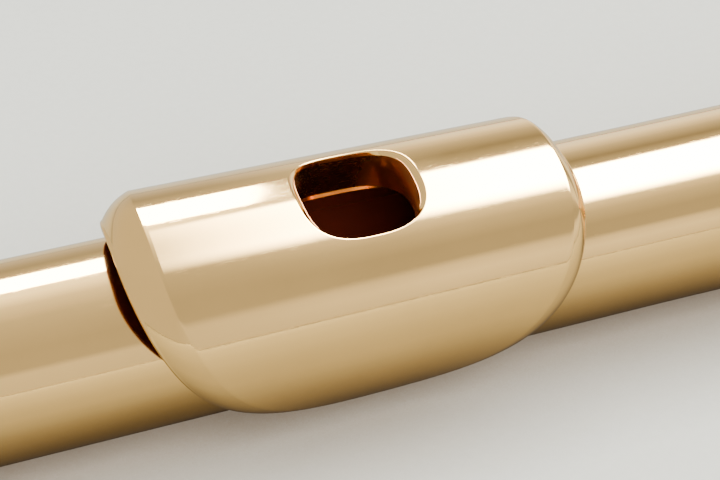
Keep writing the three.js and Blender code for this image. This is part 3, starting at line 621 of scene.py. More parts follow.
def lip_plate():
    """Plate round the embouchure hole. Rows of its grid run from the hole's edge to the crease,
    over the softened crease and down a bulging bevel to the outline, round the rolled outline,
    back along the inside and up the hole's wall."""
    hole = hole_oval(0)
    crease, edge = oval(*PLATE_CREASE, PLATE_MID), oval(*PLATE_EDGE, PLATE_MID)
    near_hole = np.linspace(0, 1, 9)[:-1] ** 1.5 * 0.05
    x1, t1 = blend_rows(hole, crease, np.concatenate([near_hole, np.linspace(0.05, 1, 52)]))
    away = np.hypot(x1 - hole[0], (t1 - hole[1]) * 13.5)
    fillet = 0.07
    dip = fillet - np.sqrt(np.maximum(fillet ** 2 - np.maximum(fillet - away, 0) ** 2, 0))
    r1 = plate_top(x1, t1) - dip
    down = np.linspace(0, 1, 30)[1:]
    x2, t2 = blend_rows(crease, edge, down)
    soft = 0.018
    fall = (np.sqrt(down ** 2 + soft ** 2) - soft)
    fall = (fall / fall[-1])[:, None]
    fall = fall * (0.52 + 0.48 * fall ** 1.8)
    full = plate_top(x2, t2)
    r2 = full - np.maximum(full - smooth_value(t2, PLATE_LIP), 0.02) * fall
    lip = np.linspace(0, np.pi, 8)[1:-1, None]
    x3 = edge[0] + 0.2 * np.sin(lip) * edge[0] / PLATE_EDGE[0]
    t3 = np.broadcast_to(edge[1], x3.shape)
    r3 = r2[-1] - PLATE_WALL * (1 - np.cos(lip)) / 2
    back = np.linspace(0, 1, 8)
    x4, t4 = blend_rows(edge, crease, back)
    r4 = (1 - back[:, None]) * (r2[-1] - plate_top(x4, t4)) + plate_top(x4, t4) - PLATE_WALL
    x5, t5 = blend_rows(crease, chimney_oval(PLATE_DEPTH), np.linspace(0, 1, 26)[1:])
    r5 = plate_top(x5, t5) - PLATE_WALL
    levels = np.linspace(PLATE_DEPTH, 0, 7)[1:-1]
    x6, t6 = (np.stack(rows) for rows in zip(*[chimney_oval(level) for level in levels]))
    r6 = r5[-1] + (r1[0] - r5[-1]) * (1 - levels[:, None] / PLATE_DEPTH)
    xs = np.vstack([x1, x2, x3, x4, x5, x6])
    turns = np.vstack([t1, t2, t3, t4, t5, t6])
    radii = np.vstack([r1, r2, r3, r4, r5, r6])
    return grid(np.concatenate([xs[..., None], across(turns, radii)], -1), (True, True))


def riser():
    """Wall of the embouchure chimney, from under the plate to the tube's bore."""
    share = np.linspace(0, 1, 18)
    rows = []
    for wider, order in ((0.0, share), (0.9, share[::-1])):
        for down in order:
            x, turn = chimney_oval(PLATE_DEPTH + (1 - PLATE_DEPTH) * down, wider)
            top = plate_top(x, turn) - PLATE_WALL + 0.05
            y = 13.6 * np.sin(turn)
            z = np.sqrt((HEAD_R - WALL - 0.02) ** 2 - y ** 2) * down + top * np.cos(turn) * (1 - down)
            rows.append(np.stack([x, -y, z], -1))
    return grid(np.stack(rows), (True, True))


def head_radius(x):
    """Outer radius of the head tube: straight, then a taper up to the tenon."""
    return np.interp(x, HEAD_TAPER, (HEAD_R, BODY_R))


def head_tube():
    """Head tube, a circle of the tapered radius at each station, opened where the chimney joins it:
    at x the gap's half width is that of the flared hole's superellipse."""
    half = HOLE[0] + FLARE
    a = np.linspace(0, np.pi, 41)
    stations = np.concatenate([np.linspace(HEAD_START, -half, 12)[:-1], -half * np.cos(a),
                               np.linspace(half, HEAD_END, 60)[1:]])
    inside = np.clip(1 - np.abs(stations / half) ** HOLE_POWER, 0, 1)
    width = (HOLE[1] + FLARE) * inside ** (1 / HOLE_POWER)
    outer = head_radius(stations)
    return pierced_tube(stations, outer, outer - WALL, np.arcsin(width / HEAD_R), sides=160)


def crown():
    """Cap of the head joint, turned with a domed end, a bead and a groove, hollow on the tube side."""
    x0, x1 = CROWN_END, HEAD_START - 0.2
    outer = [[0, x0], [5.6, x0], [8.3, x0 + 0.9], [9.5, x0 + 3.4], [9.75, x0 + 5.2], [9.75, x0 + 6.6],
             [9.2, x0 + 7.1], [9.2, x0 + 7.9], [9.75, x0 + 8.4], [9.75, x1 - 0.9], [9.3, x1],
             [8.2, x1], [8.2, x1 + 5], [2.2, x1 + 5], [2.2, x0 + 4], [0, x0 + 4]]
    corner = [0, 2.4, 2.4, 1.5, 0.5, 0.25, 0.2, 0.2, 0.25, 0.4, 0.3, 0.2, 0.3, 0.2, 0.2, 0]
    return spin_x(rounded(outer, corner, 8, closed=False), 160, ring=False)


def build_head():
    """Every piece of the head joint, crown and stopper."""
    body, roll = "head", HEAD_ROLL
    piece("head_tube_shell", [head_tube()], ROSE_GOLD, body, roll, ["head_tube"], 50)
    piece("lip_plate_shell", [lip_plate()], ROSE_GOLD, body, roll, ["lip_plate"], 60)
    piece("embouchure_riser", [riser()], BORE_GOLD, body, roll, ["riser"], 60)
    piece("crown_cap", [crown()], ROSE_GOLD, "crown", roll, ["crown"])
    face, disc = STOPPER_FACE, 8.1
    screw = rounded([[0, CROWN_END + 6], [1.5, CROWN_END + 6], [1.5, face - 1.3], [disc, face - 1.3],
                     [disc, face], [0, face]], 0.2, 3, closed=False)
    thread = rod(1.62, CROWN_END + 6.3, CROWN_END + 22, sides=20)
    piece("stopper_disc", [spin_x(screw, 64, ring=False), thread], KEY_GOLD, "stopper", roll,
          ["stopper_screw"])
    piece("stopper_plug", [tube(1.8, disc, face - 11, face - 1.6, sides=64)], CORK, "stopper", roll,
          ["stopper_cork"])
    piece("stopper_washer", [tube(1.8, disc - 1.5, face - 13, face - 11.3, sides=48)], KEY_GOLD,
          "stopper", roll, ["stopper_nut"])


# ---- tubes of the body and foot ------------------------------------------------------------
def tone_tube(x0, x1, holes, sides=72):
    """Body or foot tube, open under each chimney on its top line; holes are (station, radius)."""
    marks = [np.linspace(x0, x1, int((x1 - x0) / 6))]
    for x, r in holes:
        marks.append(x - r * np.cos(np.linspace(0, np.pi, 17)))
    stations = np.unique(np.round(np.concatenate(marks), 4))
    width = np.zeros(len(stations))
    for x, r in holes:
        width = np.maximum(width, np.sqrt(np.maximum(r ** 2 - (stations - x) ** 2, 0)))
    width[width < 0.05] = 0
    outer = np.full(len(stations), BODY_R)
    return pierced_tube(stations, outer, outer - WALL, np.arcsin(width / BODY_R), sides)


def ringed_sleeve(x0, x1):
    """Sleeve with a beaded ring at each end."""
    outline = [[SLEEVE_BORE, x0], [RING_R, x0], [RING_R, x0 + 1.1], [RING_R - 0.35, x0 + 1.35],
               [RING_R, x0 + 1.6], [RING_R, x0 + 2.8], [SLEEVE_R, x0 + 3.2], [SLEEVE_R, x1 - 3.2],
               [RING_R, x1 - 2.8], [RING_R, x1 - 1.6], [RING_R - 0.35, x1 - 1.35], [RING_R, x1 - 1.1],
               [RING_R, x1], [SLEEVE_BORE, x1]]
    return spin_x(rounded(outline, 0.4, 5), 128)


def foot_ring():
    """Ring on the foot's end, a rounded outline spun about the axis."""
    x0, x1 = FOOT_RING, FOOT_END
    outline = [[BODY_R - WALL, x0], [BODY_R + 0.05, x0 - 0.6], [SLEEVE_R - 0.1, x0], [SLEEVE_R - 0.1, x1],
               [BODY_R - WALL, x1]]
    return spin_x(rounded(outline, [0, 0.2, 1.0, 1.0, 0.2], 6), 128)


def post(x, line, foot, ball=2.1):
    """Turned post from the rib to a hinge line: a flared foot, a waist and a ball round the line."""
    direction = np.array(line) - foot
    height = np.hypot(*direction)
    a = np.linspace(-0.95, np.pi / 2, 14)
    bowl = np.column_stack([ball * np.cos(a), height + ball * np.sin(a)])
    waist = curve([[2.3, 0.0], [1.9, 0.5], [1.15, height * 0.3], [1.05, height * 0.5], bowl[0]], 16)
    profile = np.vstack([[0, 0], waist[:-1], bowl[:-1], [0, height + ball]])
    upright = spin_z(profile, 28)
    tilt = math.atan2(direction[1], direction[0]) - math.pi / 2
    return moved(upright, turn_matrix(tilt), (x, *foot))


def screw_head(x, line, side, r=1.25):
    """Slotted pivot screw in a post: a domed disc in two halves either side of its slot."""
    halves = []
    for sign in (-1, 1):
        half = rounded([[-r, 0.17], [r, 0.17], [0.75 * r, 0.7 * r], [0, r], [-0.75 * r, 0.7 * r]], 0.25, 4)
        y, z = half.T * [[1], [sign]]
        rim = np.stack([np.zeros(len(y)), y, z], -1)
        middle = np.array([0, 0, sign * 0.5 * r])
        rows = [middle + (rim - middle) * s + [side * d, 0, 0]
                for s, d in ((0, 0), (1, 0), (1, 0.35), (0.85, 0.5), (0, 0.52))]
        halves.append(moved(grid(np.stack(rows)), None, (x, *line)))
    return merged(halves)


def rib(x0, x1, turn=RIB_TURN, half_width=1.65):
    """Long strap soldered along the tube: a rounded plate bent round the tube's curve."""
    length = (x1 - x0) / 2
    flat, quads = pebble(length, half_width, 0.45, power=9.0, sides=96, edge=0.03)
    x, t, h = flat.T
    places = across(turn - t / 10.4, 10.3 + h)
    return np.column_stack([x + (x0 + x1) / 2, places]), quads


# ---- key work ------------------------------------------------------------------------------
def cup(x, r, sides=96):
    """Closed key cup: a dish turned down over its pad, its top with a rounded shoulder, a shallow
    ring groove and a low dome."""
    bottom, top = CUP_TOP - CUP_DEPTH, CUP_TOP - 0.02
    outline = [[0, top - 0.68], [r - 0.38, top - 0.68], [r - 0.38, bottom], [r - 0.02, bottom],
               [r - 0.02, top - 0.55], [r - 0.75, top - 0.06], [r - 1.7, top - 0.06], [r - 1.95, top - 0.3],
               [r - 2.3, top - 0.3], [r - 2.6, top - 0.14], [0.45 * r, top], [0, top]]
    corner = [0, 0.2, 0.1, 0.15, 0.45, 0.3, 0.12, 0.12, 0.12, 0.2, 1.0, 0]
    return spin_z(rounded(outline, corner, 5, closed=False), sides, x)


def pad_disc(x, r, sides=72):
    """Felt pad in its skin: a rounded disc with a soft dimple where it meets the rim of its hole."""
    outline = [[0, PAD_LOW + 0.1], [r * 0.8, PAD_LOW + 0.1], [r * 0.88, PAD_LOW + 0.22],
               [r * 0.94, PAD_LOW + 0.05], [r - 0.02, PAD_LOW + 0.35], [r - 0.02, PAD_HIGH - 0.5],
               [r - 0.4, PAD_HIGH], [0, PAD_HIGH]]
    return spin_z(rounded(outline, 0.3, 4, closed=False), sides, x)


def key_arm(x, line, width=1.5, tip=0.35):
    """Pointed arm: from a saddle on the hinge tube up and over the cup, narrowing to its middle."""
    hy, hz = line
    path = [[hy + 0.2, hz + 0.9], [hy - 0.55, hz + 2.6], [hy - 0.1, hz + 4.6], [hy + 2.2, CUP_TOP + 0.5],
            [hy * 0.45, CUP_TOP + 0.45], [hy * 0.15, CUP_TOP + 0.3], [0.9, CUP_TOP + 0.05]]
    wide = [width + 0.7, width, width - 0.1, width - 0.15, width - 0.3, width * 0.55, tip]
    return strap(path, wide, [0.85, 0.75, 0.7, 0.6, 0.52, 0.45, 0.25], x, count=56)


def trill_arm(x, line):
    """Arm from a trill key's hinge tube up over the rod line to the cup, a strap swept on a path."""
    hy, hz = line
    path = [[hy + 0.1, hz + 0.7], [hy - 0.5, hz + 4.0], [hy + 0.1, hz + 8.2], [hy + 3.2, CUP_TOP + 0.4],
            [hy * 0.35, CUP_TOP + 0.42], [0.7, CUP_TOP + 0.05]]
    return strap(path, [1.7, 1.2, 1.15, 1.05, 0.9, 0.35], [0.8, 0.65, 0.6, 0.55, 0.5, 0.25], x, count=56)


def lever_parts(x, line, reach, rise, half, tilt=0.0):
    """Outboard lever: a tapering arm from the hinge tube and a domed finger plate at its end."""
    hy, hz = line
    path = [[hy - 0.5, hz], [hy - 0.35 * reach, hz + 0.25 * rise], [hy - 0.7 * reach, hz + 0.8 * rise],
            [hy - reach, hz + rise - 0.1]]
    arm = strap(path, [1.5, 1.15, 1.1, 0.9], [0.8, 0.6, 0.5, 0.35], x, count=32)
    plate = pebble(*half, 0.5, power=2.4, dome=0.35)
    return [arm, moved(plate, turn_matrix(tilt), (x, hy - reach, hz + rise))]


def hinge_tube_parts(span, line, r=HINGE_R, bore=1.2, ring=True):
    """Hinge tube with a small raised bead near each end."""
    x0, x1 = span
    parts = [tube(bore, r - 0.02, x0, x1, line)]
    if ring and x1 - x0 > 5:
        for at in (x0 + 0.75, x1 - 0.75):
            parts.append(tube(r - 0.4, r + 0.14, at - 0.3, at + 0.3, line, chamfer=0.14))
    return parts


def cup_key(name, line, angle, body, roll=BODY_ROLL, extras=(), parts=None, tube_r=HINGE_R):
    """One cup key and its pad, as pieces: cup, arm, hinge tube and any extra parts."""
    x, r = station(f"pad_{name}"), radius_of(f"pad_{name}")
    cup_r = r + (0.7 if r > 5 else 0.8)
    if parts is None:
        span = hinge_span(f"key_{name}", line, roll)
        parts = [key_arm(x, line), *hinge_tube_parts(span, line, tube_r)]
    whole = [swung(part, line, angle) for part in [cup(x, cup_r), *parts, *extras]]
    piece(f"{name}_key", whole, KEY_GOLD, body, roll, [f"key_{name}"])
    skin = [swung(pad_disc(x, r), line, angle)]
    piece(f"{name}_pad", skin, PAD_SKIN, body, roll, [f"pad_{name}"])


def needle_spring(x0, x1, line, foot):
    """Needle spring: a thin tapering wire that leans from a post to a key's hook."""
    t = np.linspace(0, 1, 12)[:, None]
    start, end = np.array([x0, *foot]), np.array([x1, line[0] + 1.0, line[1] - 2.6])
    a = np.arange(8) * np.pi / 4
    ring = np.stack([np.zeros(8), np.cos(a), np.sin(a)], -1)
    middle = start + (end - start) * t + np.array([0, 0, 0.4]) * np.sin(np.pi * t)
    points = middle[:, None, :] + ring[None] * (0.34 * (1 - 0.5 * t[:, :, None]))
    closed = np.concatenate([middle[:1, None].repeat(8, 1), points, middle[-1:, None].repeat(8, 1)])
    return grid(closed)


def build_body_tubes(main, trill, g_sharp):
    """Body tube with its chimneys, barrel, ribs, posts and rods."""
    on_top = ["c_sharp", "c", "b_flat", "a", "g_upper", "g_lower", "f_sharp", "f", "e", "d",
              "d_trill", "d_sharp_trill"]
    holes = [(station(f"pad_{name}"), radius_of(f"pad_{name}") - 0.5) for name in on_top]
    parts = [tone_tube(BODY_START, BODY_END, [(x, r - 0.3) for x, r in holes])]
    parts += [collar(x, r) for x, r in holes]
    parts.append(collar(station("pad_g_sharp"), radius_of("pad_g_sharp") - 0.5, G_SHARP_TURN))
    parts.append(collar(station("pad_thumb_b"), radius_of("pad_thumb_b") - 0.5, THUMB_TURN))
    piece("body_tube_shell", parts, ROSE_GOLD, "body", BODY_ROLL, ["body_tube"], 50)
    piece("barrel_sleeve", [ringed_sleeve(*BARREL)], ROSE_GOLD, "body", BODY_ROLL, ["barrel"])

    foot = across(RIB_TURN, 10.7)
    parts = [rib(MAIN_POSTS[0] - 3, MAIN_POSTS[-1] + 2)]
    parts += [post(x, main, foot) for x in MAIN_POSTS]
    parts += [screw_head(x - side * 1.9, main, -side)
              for x, side in ((MAIN_POSTS[0], 1), (MAIN_POSTS[-1], -1))]
    bridge = np.array(main) + [-0.8, -0.1]
    for x in G_SHARP_POSTS:
        parts.append(post(x, g_sharp, bridge, ball=1.85))
    parts.append(post(TRILL_POSTS[1], trill, foot, ball=1.85))
    piece("main_posts", parts, KEY_GOLD, "body", BODY_ROLL, ["main_rib"])
    x = TRILL_POSTS[0]
    parts = [rib(x - 3, x + 3), post(x, trill, foot, ball=1.85)]
    piece("trill_end_post", parts, KEY_GOLD, "body", BODY_ROLL, ["trill_post"])
    rods = {"upper": (MAIN_POSTS[0] - 1.5, ROD_JOIN - GAP, main, ROD_R),
            "lower": (ROD_JOIN + GAP, MAIN_POSTS[-1] + 1.5, main, ROD_R),
            "g_sharp": (G_SHARP_POSTS[0] - 1, G_SHARP_POSTS[1] + 1, g_sharp, TRILL_ROD_R)}
    for name, (x0, x1, line, r) in rods.items():
        piece(f"{name}_steel", [rod(r, x0, x1, line)], STEEL, "body", BODY_ROLL, [f"{name}_rod"])
    springs = [needle_spring(x - 1, x - 14, main, foot + [0.3, 1.6]) for x in MAIN_POSTS[1:]]
    piece("needle_springs", springs, STEEL, "body", BODY_ROLL, ())


def build_trill_keys(line):
    """The two trill keys with their arms, hinge tubes and touches."""
    arm_plate = (4.2, 2.8)
    x = station("pad_d_trill")
    parts = [trill_arm(x, line), *hinge_tube_parts((x - 6, D_TRILL_TOUCH + 6), line, TRILL_R, 1.1),
             *lever_parts(D_TRILL_TOUCH, line, 9.6, 4.6, arm_plate, 0.15)]
    cup_key("d_trill", line, 0, "key_d_trill", parts=parts)
    x, far = station("pad_d_sharp_trill"), D_SHARP_TRILL_TOUCH
    parts = [trill_arm(x, line), *lever_parts(far, line, 9.6, 4.6, arm_plate, 0.15),
             rod(TRILL_ROD_R, TRILL_POSTS[0] - 1, TRILL_POSTS[1] + 1, line),
             rod(TRILL_R, x - 5, x + 8, line), rod(TRILL_R, far - 6, far + 5, line)]
    cup_key("d_sharp_trill", line, 0, "key_d_sharp_trill", parts=parts)


def build_g_sharp_key(line):
    """The cup on the far side, and the low strap that crosses the tube to it from its hinge."""
    x, r = station("pad_g_sharp"), 6.6
    route = [(48, 12.3), (30, 11.8), (0, 11.6), (-10, 12.4), (-23, 15), (-29.5, 16.1), (-36, 16.6),
             (-50, 15.7), (-60, 15.5)]
    path = [[line[0] + 0.4, line[1] - 0.2]] + [across(rad(turn), at).tolist() for turn, at in route]
    strip = strap(path, [1.3] + [1.15] * 7 + [0.8, 0.3], [0.6] + [0.42] * 9, x, count=90)
    span = (G_SHARP_POSTS[0] + 2.1, G_SHARP_POSTS[1] - 2.1)
    parts = [moved(cup(x, r + 0.7), turn_matrix(G_SHARP_TURN)), strip,
             *hinge_tube_parts(span, line, TRILL_R, 1.1), *lever_parts(span[0] + 7, line, 9, 1.2, (7, 3.6))]
    piece("g_sharp_key", parts, KEY_GOLD, "key_g_sharp", BODY_ROLL, ["key_g_sharp"])
    skin = [moved(pad_disc(x, r), turn_matrix(G_SHARP_TURN))]
    made = piece("g_sharp_pad", skin, PAD_SKIN, "key_g_sharp", BODY_ROLL, ["pad_g_sharp"])


def build_thumb_keys():
    """Thumb keys, laid out as if their hole were on top: their roll takes them round the tube."""
    roll = BODY_ROLL + THUMB_TURN
    line = hinge_line("thumb_b_hinge", roll)
    x = station("pad_thumb_b")
    tube_b = (THUMB_POSTS[0] + 1.9, x + 5)
    touch = moved(pebble(5.0, 4.6, 0.5, power=3.2, dome=0.25), None, (x - 11.6, 0, 14.5))
    parts = [key_arm(x, line), *hinge_tube_parts(tube_b, line), touch]
    cup_key("thumb_b", line, THUMB_OPEN, "key_thumb_b", roll, parts=parts)
    tube_flat = (tube_b[1] + 0.4, THUMB_POSTS[1] - 1.9)
    arm_x = tube_flat[1] - 1.8
    touch = moved(pebble(4.7, 4.6, 0.5, power=3.2, dome=0.25), None, (x + 13.3, 0, 14.5))
    hy, hz = line
    arm = strap([[hy + 0.2, hz + 0.9], [hy - 0.6, hz + 2.8], [hy + 0.9, hz + 4.7], [-3.5, 14.7]],
                [1.5, 1.3, 1.2, 0.9], [0.8, 0.7, 0.55, 0.35], arm_x)
    parts = [swung(part, line, THUMB_OPEN) for part in [arm, *hinge_tube_parts(tube_flat, line), touch]]
    piece("thumb_b_flat_lever", parts, KEY_GOLD, "key_thumb_b_flat", roll, ["key_thumb_b_flat"])
    foot = across(RIB_TURN, 10.7)
    posts = [rib(THUMB_POSTS[0] - 2, THUMB_POSTS[1] + 2)]
    posts += [post(at, line, foot, ball=1.85) for at in THUMB_POSTS]
    piece("thumb_posts", posts, KEY_GOLD, "body", roll, ["thumb_rib"])
    steel = rod(ROD_R, THUMB_POSTS[0] - 1, THUMB_POSTS[1] + 1, line)
    piece("thumb_steel", [steel], STEEL, "body", roll, ["thumb_rod"])


def roller_touch(x, line, roller_line):
    """Forked touch over the hinge with a pin between its two ears for the roller."""
    hy, hz = line
    ry, rz = roller_line
    back = strap([[hy + 0.1, hz + 0.8], [hy - 0.5, hz + 3.0], [hy + 0.5, rz - 1.0], [hy + 2.0, rz - 0.6]],
                 [1.8, 1.7, 2.3, 2.8], [0.8, 0.7, 0.6, 0.5], x)
    ears = [strap([[hy + 1.0, rz - 0.8], [ry - 1.6, rz - 0.2], [ry + 0.7, rz]], 0.28, [0.7, 0.75, 0.8],
                  x + side * 2.7, count=24) for side in (-1, 1)]
    return [back, *ears, rod(0.45, x - 3.0, x + 3.0, roller_line, 16, 0.1)]


def build_foot(line):
    """Foot tube, socket, rib, rod, three keys and two rollers."""
    body, roll = "foot", BODY_ROLL
    names = ("e_flat", "foot_c_sharp", "foot_c")
    holes = [(station(f"pad_{name}"), radius_of(f"pad_{name}") - 0.5) for name in names]
    parts = [tone_tube(FOOT_START, FOOT_END - 0.2, [(x, r - 0.3) for x, r in holes]), foot_ring()]
    parts += [collar(x, r) for x, r in holes]
    piece("foot_tube_shell", parts, ROSE_GOLD, body, roll, ["foot_tube"], 50)
    piece("foot_sleeve", [ringed_sleeve(*SOCKET)], ROSE_GOLD, body, roll, ["foot_socket"])
    foot = across(RIB_TURN, 10.7)
    parts = [rib(SOCKET[1] + 0.8, FOOT_POSTS[2] + 2)] + [post(x, line, foot) for x in FOOT_POSTS]
    piece("foot_posts", parts, KEY_GOLD, body, roll, ["foot_rib"])
    steel = rod(ROD_R, FOOT_POSTS[0] - 1.5, FOOT_POSTS[1] - 0.4, line)
    piece("foot_steel", [steel], STEEL, body, roll, ["foot_rod"])

    e_flat, c_sharp, c = (station(f"pad_{name}") for name in names)
    spatula = lever_parts(e_flat, line, 9.5, 0.8, (7.0, 4.0))
    cup_key("e_flat", line, 0, "key_e_flat", extras=spatula)
    rollers = {name: station(name) for name in ("roller_c", "roller_c_sharp")}
    lowest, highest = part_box("roller_c")
    centre = np.array([0, (lowest.y + highest.y) / 2, (lowest.z + highest.z) / 2]) / MM
    centre = turn_matrix(-roll) @ (centre - [0, *AXIS[1:]])
    hinge = np.array([0, *line])
    roller_line = (turn_matrix(-OPEN) @ (centre - hinge) + hinge)[1:]
    hub_c = (FOOT_POSTS[1] + 1.9, rollers["roller_c"] + 3.3)
    tube_c_sharp = (hub_c[1] + 0.4, c_sharp + 12)
    tail_c = (tube_c_sharp[1] + 0.4, FOOT_POSTS[2] - 1.9)
    parts = [key_arm(c_sharp, line), *hinge_tube_parts(tube_c_sharp, line),
             *roller_touch(rollers["roller_c_sharp"], line, roller_line)]
    cup_key("foot_c_sharp", line, OPEN, "key_foot_c_sharp", parts=parts)
    parts = [key_arm(c, line), rod(HINGE_R, *hub_c, line), rod(HINGE_R, *tail_c, line),
             rod(ROD_R, FOOT_POSTS[1] + 0.1, FOOT_POSTS[2] + 1, line),
             *roller_touch(rollers["roller_c"], line, roller_line)]
    cup_key("foot_c", line, OPEN, "key_foot_c", parts=parts)
    for name, x in rollers.items():
        outline = rounded([[0.7, x - 2.05], [1.66, x - 2.05], [1.66, x + 2.05], [0.7, x + 2.05]], 0.5, 6)
        parts = [swung(spin_x(outline, 48, roller_line), line, OPEN)]
        piece(f"{name}_barrel", parts, KEY_GOLD, name, roll, [name])


# ---- set, light and camera -----------------------------------------------------------------
# painted shade in the floor's reflections: how much of the floor's tone the metal mirrors, by the distance
# from the axis as a share of a reach
MIRROR_SHADE_REACH = 120
FLOOR_MIRROR_SHADE = [(0, 0.12), (0.06, 0.17), (0.11, 0.24), (0.23, 0.40), (0.5, 0.52), (1, 0.58)]


def paper_floor():
    """Large pale floor with a faint paper grain, with a painted contact shadow close under the metal:
    browner and darker where ambient occlusion is high. The metal mirrors it dimmer than it is, the
    more so the nearer to the flute, which is painted shade in the reflections."""
    material, tree, surface = new_material("pale_paper")
    where = node(tree, "ShaderNodeTexCoord").outputs["Object"]
    grain = node(tree, "ShaderNodeTexNoise", Scale=900.0, Detail=6.0)
    link(tree, where, grain.inputs["Vector"])
    tone = mix_colours(tree, grain.outputs["Fac"], (0.69, 0.71, 0.64), (0.75, 0.77, 0.705))
    # painted contact shadow: brown-tinted dark where ambient occlusion finds the flute close, standing in
    # for shade and light bounced off the gold
    shade = node(tree, "ShaderNodeAmbientOcclusion", samples=8, Distance=0.014)
    tone = mix_colours(tree, shade.outputs["AO"], (0.20, 0.125, 0.065), tone)
    split = node(tree, "ShaderNodeSeparateXYZ")
    link(tree, where, split.inputs["Vector"])
    away = calc(tree, "ABSOLUTE", calc(tree, "SUBTRACT", split.outputs["Y"], AXIS[1] * MM))
    mirrored_shade = tone_ramp(tree, spread(tree, away, 0.0, MIRROR_SHADE_REACH * MM), FLOOR_MIRROR_SHADE,
                         (1, 0.97, 0.91))
    # painted shade: rays off the metal see the floor darkened by the ramp, the more so nearer the flute
    darker = node(tree, "ShaderNodeMix", data_type="RGBA", blend_type="MULTIPLY")
    link(tree, tree.nodes.new("ShaderNodeLightPath").outputs["Is Glossy Ray"], darker.inputs["Factor"])
    link(tree, tone, darker.inputs["A"])
    link(tree, mirrored_shade, darker.inputs["B"])
    link(tree, darker.outputs["Result"], surface.inputs["Base Color"])
    surface.inputs["Roughness"].default_value = 0.9
    add_relief(tree, surface, grain.outputs["Fac"], 0.15)
    bpy.ops.mesh.primitive_plane_add(size=60)
    floor = bpy.context.object
    floor.name = "floor"
    floor.data.materials.append(material)


def softbox(name, toward, turn, distance, size, radiance, fade=(0.0, 0.0, 0.0, 0.0), diffuse=True,
            glossy=True):
    """Area light aimed at the lip plate. Its direction: toward is the angle towards the foot, and
    turn goes from the player's side horizon (0) over the top (90) to the far side (180), degrees.
    Its size is given along the tube and round it, and fade is how much of each side dims to
    nothing: crown side, foot side, player's side, far side."""
    light = bpy.data.lights.new(name, "AREA")
    light.shape, light.size, light.size_y = "RECTANGLE", *size
    light.energy = radiance * math.pi * size[0] * size[1]
    made = bpy.data.objects.new(name, light)
    bpy.context.collection.objects.link(made)
    along, up = rad(toward), rad(turn)
    back = Vector((math.sin(along), -math.cos(along) * math.cos(up), math.cos(along) * math.sin(up)))
    side = Vector((math.cos(along), math.sin(along) * math.cos(up), -math.sin(along) * math.sin(up)))
    pose = Matrix((side, back.cross(side), back)).transposed()
    made.location = Vector(AXIS * MM) + back * distance
    made.rotation_mode = "QUATERNION"
    made.rotation_quaternion = pose.to_quaternion()
    made.visible_diffuse, made.visible_glossy = diffuse, glossy
    if max(fade) > 0:
        light.use_nodes = True
        tree = light.node_tree
        emission = tree.nodes["Emission"]
        place = node(tree, "ShaderNodeSeparateXYZ")
        link(tree, node(tree, "ShaderNodeNewGeometry").outputs["Parametric"], place.inputs["Vector"])
        strength = 1.0
        for axis, low_end, high_end in (("X", fade[0], fade[1]), ("Y", fade[2], fade[3])):
            for start, end in ((0.0, low_end), (1.0, 1.0 - high_end)):
                if start == end:
                    continue
                ramp = spread(tree, place.outputs[axis], start, end, smooth=True)
                strength = calc(tree, "MULTIPLY", ramp, strength)
        link(tree, strength, emission.inputs["Strength"])
    return made


# brightness of the room by the angle from the player's horizon over the top to the far horizon,
# as seen towards the crown end and towards the foot end
ROOM_CROWN = [(0, 1.15), (19, 1.25), (25, 0.78), (45, 0.76), (62, 0.86), (80, 1.0), (98, 1.6),
              (112, 3.2), (125, 2.6), (140, 1.0), (157, 0.62), (180, 1.0)]
ROOM_FOOT = [(0, 1.25), (13, 1.6), (21, 1.35), (26, 0.72), (40, 0.7), (55, 1.0), (68, 1.7), (104, 1.7),
             (120, 0.8), (131, 0.45), (147, 0.95), (166, 2.0)]


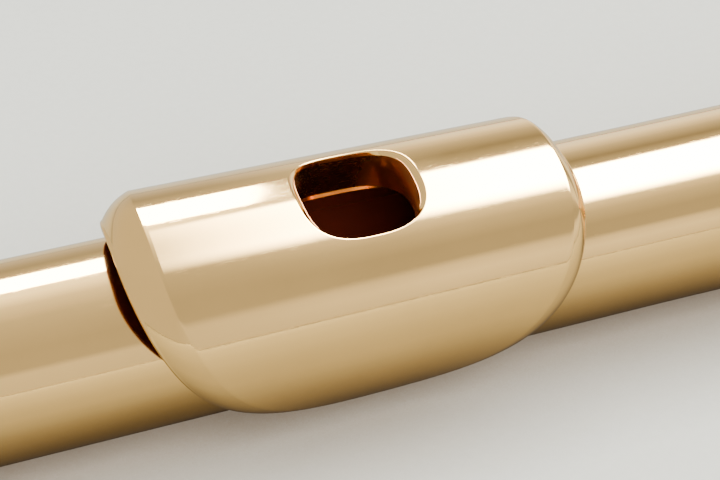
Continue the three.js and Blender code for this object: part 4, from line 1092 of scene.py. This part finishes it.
def studio_world():
    """Soft room: pale low on the player's side, dim above that, bright overhead and dim behind; it
    fades to an even tone past the crown end."""
    world = bpy.data.worlds.new("studio")
    bpy.context.scene.world = world
    world.use_nodes = True
    tree = world.node_tree
    background = tree.nodes["Background"]
    split = node(tree, "ShaderNodeSeparateXYZ")
    link(tree, node(tree, "ShaderNodeTexCoord").outputs["Generated"], split.inputs["Vector"])
    front = calc(tree, "MULTIPLY", split.outputs["Y"], -1.0)
    angle = calc(tree, "ARCTAN2", split.outputs["Z"], front)
    share = calc(tree, "DIVIDE", angle, math.pi, clamp=True)
    top = 4.0
    tones = [tone_ramp(tree, share, [(at / 180, level / top) for at, level in levels], (1, 0.985, 0.94))
             for levels in (ROOM_CROWN, ROOM_FOOT)]
    aside = [spread(tree, split.outputs["X"], start, end, smooth=True)
             for start, end in ((0.22, 0.38), (-0.3, 0.0))]
    both = mix_colours(tree, aside[0], *tones)
    even = 1.0 / top
    link(tree, mix_colours(tree, aside[1], (even, even * 0.97, even * 0.9), both),
         background.inputs["Color"])
    background.inputs["Strength"].default_value = top


def build_camera():
    """Close view of the lip plate from the player's side, a little towards the crown end."""
    elevation, azimuth = rad(34.5), rad(-21.6)
    distance, lens = 0.18, 94.0
    aside, upward = 1.6 * MM, 3.8 * MM
    back = Vector((math.sin(azimuth) * math.cos(elevation), -math.cos(azimuth) * math.cos(elevation),
                   math.sin(elevation)))
    right = Vector((math.cos(azimuth), math.sin(azimuth), 0))
    up = back.cross(right)
    camera = bpy.data.cameras.new("camera")
    camera.lens, camera.sensor_width = lens, 36.0
    camera.clip_start, camera.clip_end = 0.01, 100.0
    made = bpy.data.objects.new("camera", camera)
    bpy.context.collection.objects.link(made)
    target = Vector(AXIS * MM) + Vector((aside, 0, 0)) + up * upward
    made.location = target + back * distance
    made.rotation_mode = "QUATERNION"
    made.rotation_quaternion = back.to_track_quat("Z", "Y")
    bpy.context.scene.camera = made


# ---- the whole flute -----------------------------------------------------------------------
MAIN_LINE = hinge_line("c_hinge")
TRILL_LINE = hinge_line("d_trill_hinge")
G_SHARP_LINE = hinge_line("g_sharp_hinge")

build_head()
build_body_tubes(MAIN_LINE, TRILL_LINE, G_SHARP_LINE)
for key in ("c_sharp", "c", "b_flat", "a", "g_upper", "g_lower", "f_sharp", "f", "e", "d"):
    cup_key(key, MAIN_LINE, OPEN, f"key_{key}")
build_trill_keys(TRILL_LINE)
build_g_sharp_key(G_SHARP_LINE)
build_thumb_keys()
build_foot(MAIN_LINE)

paper_floor()
softbox("far_strip", 6, 130, 1.2, (0.40, 0.47), 45, diffuse=False)
softbox("top_panel", 28, 91.5, 1.2, (0.80, 1.04), 55, fade=(0.5, 0.06, 0.3, 0.1), diffuse=False)
softbox("fill_panel", 0, 38, 1.2, (0.9, 0.9), 13.5, glossy=False)
studio_world()
build_camera()
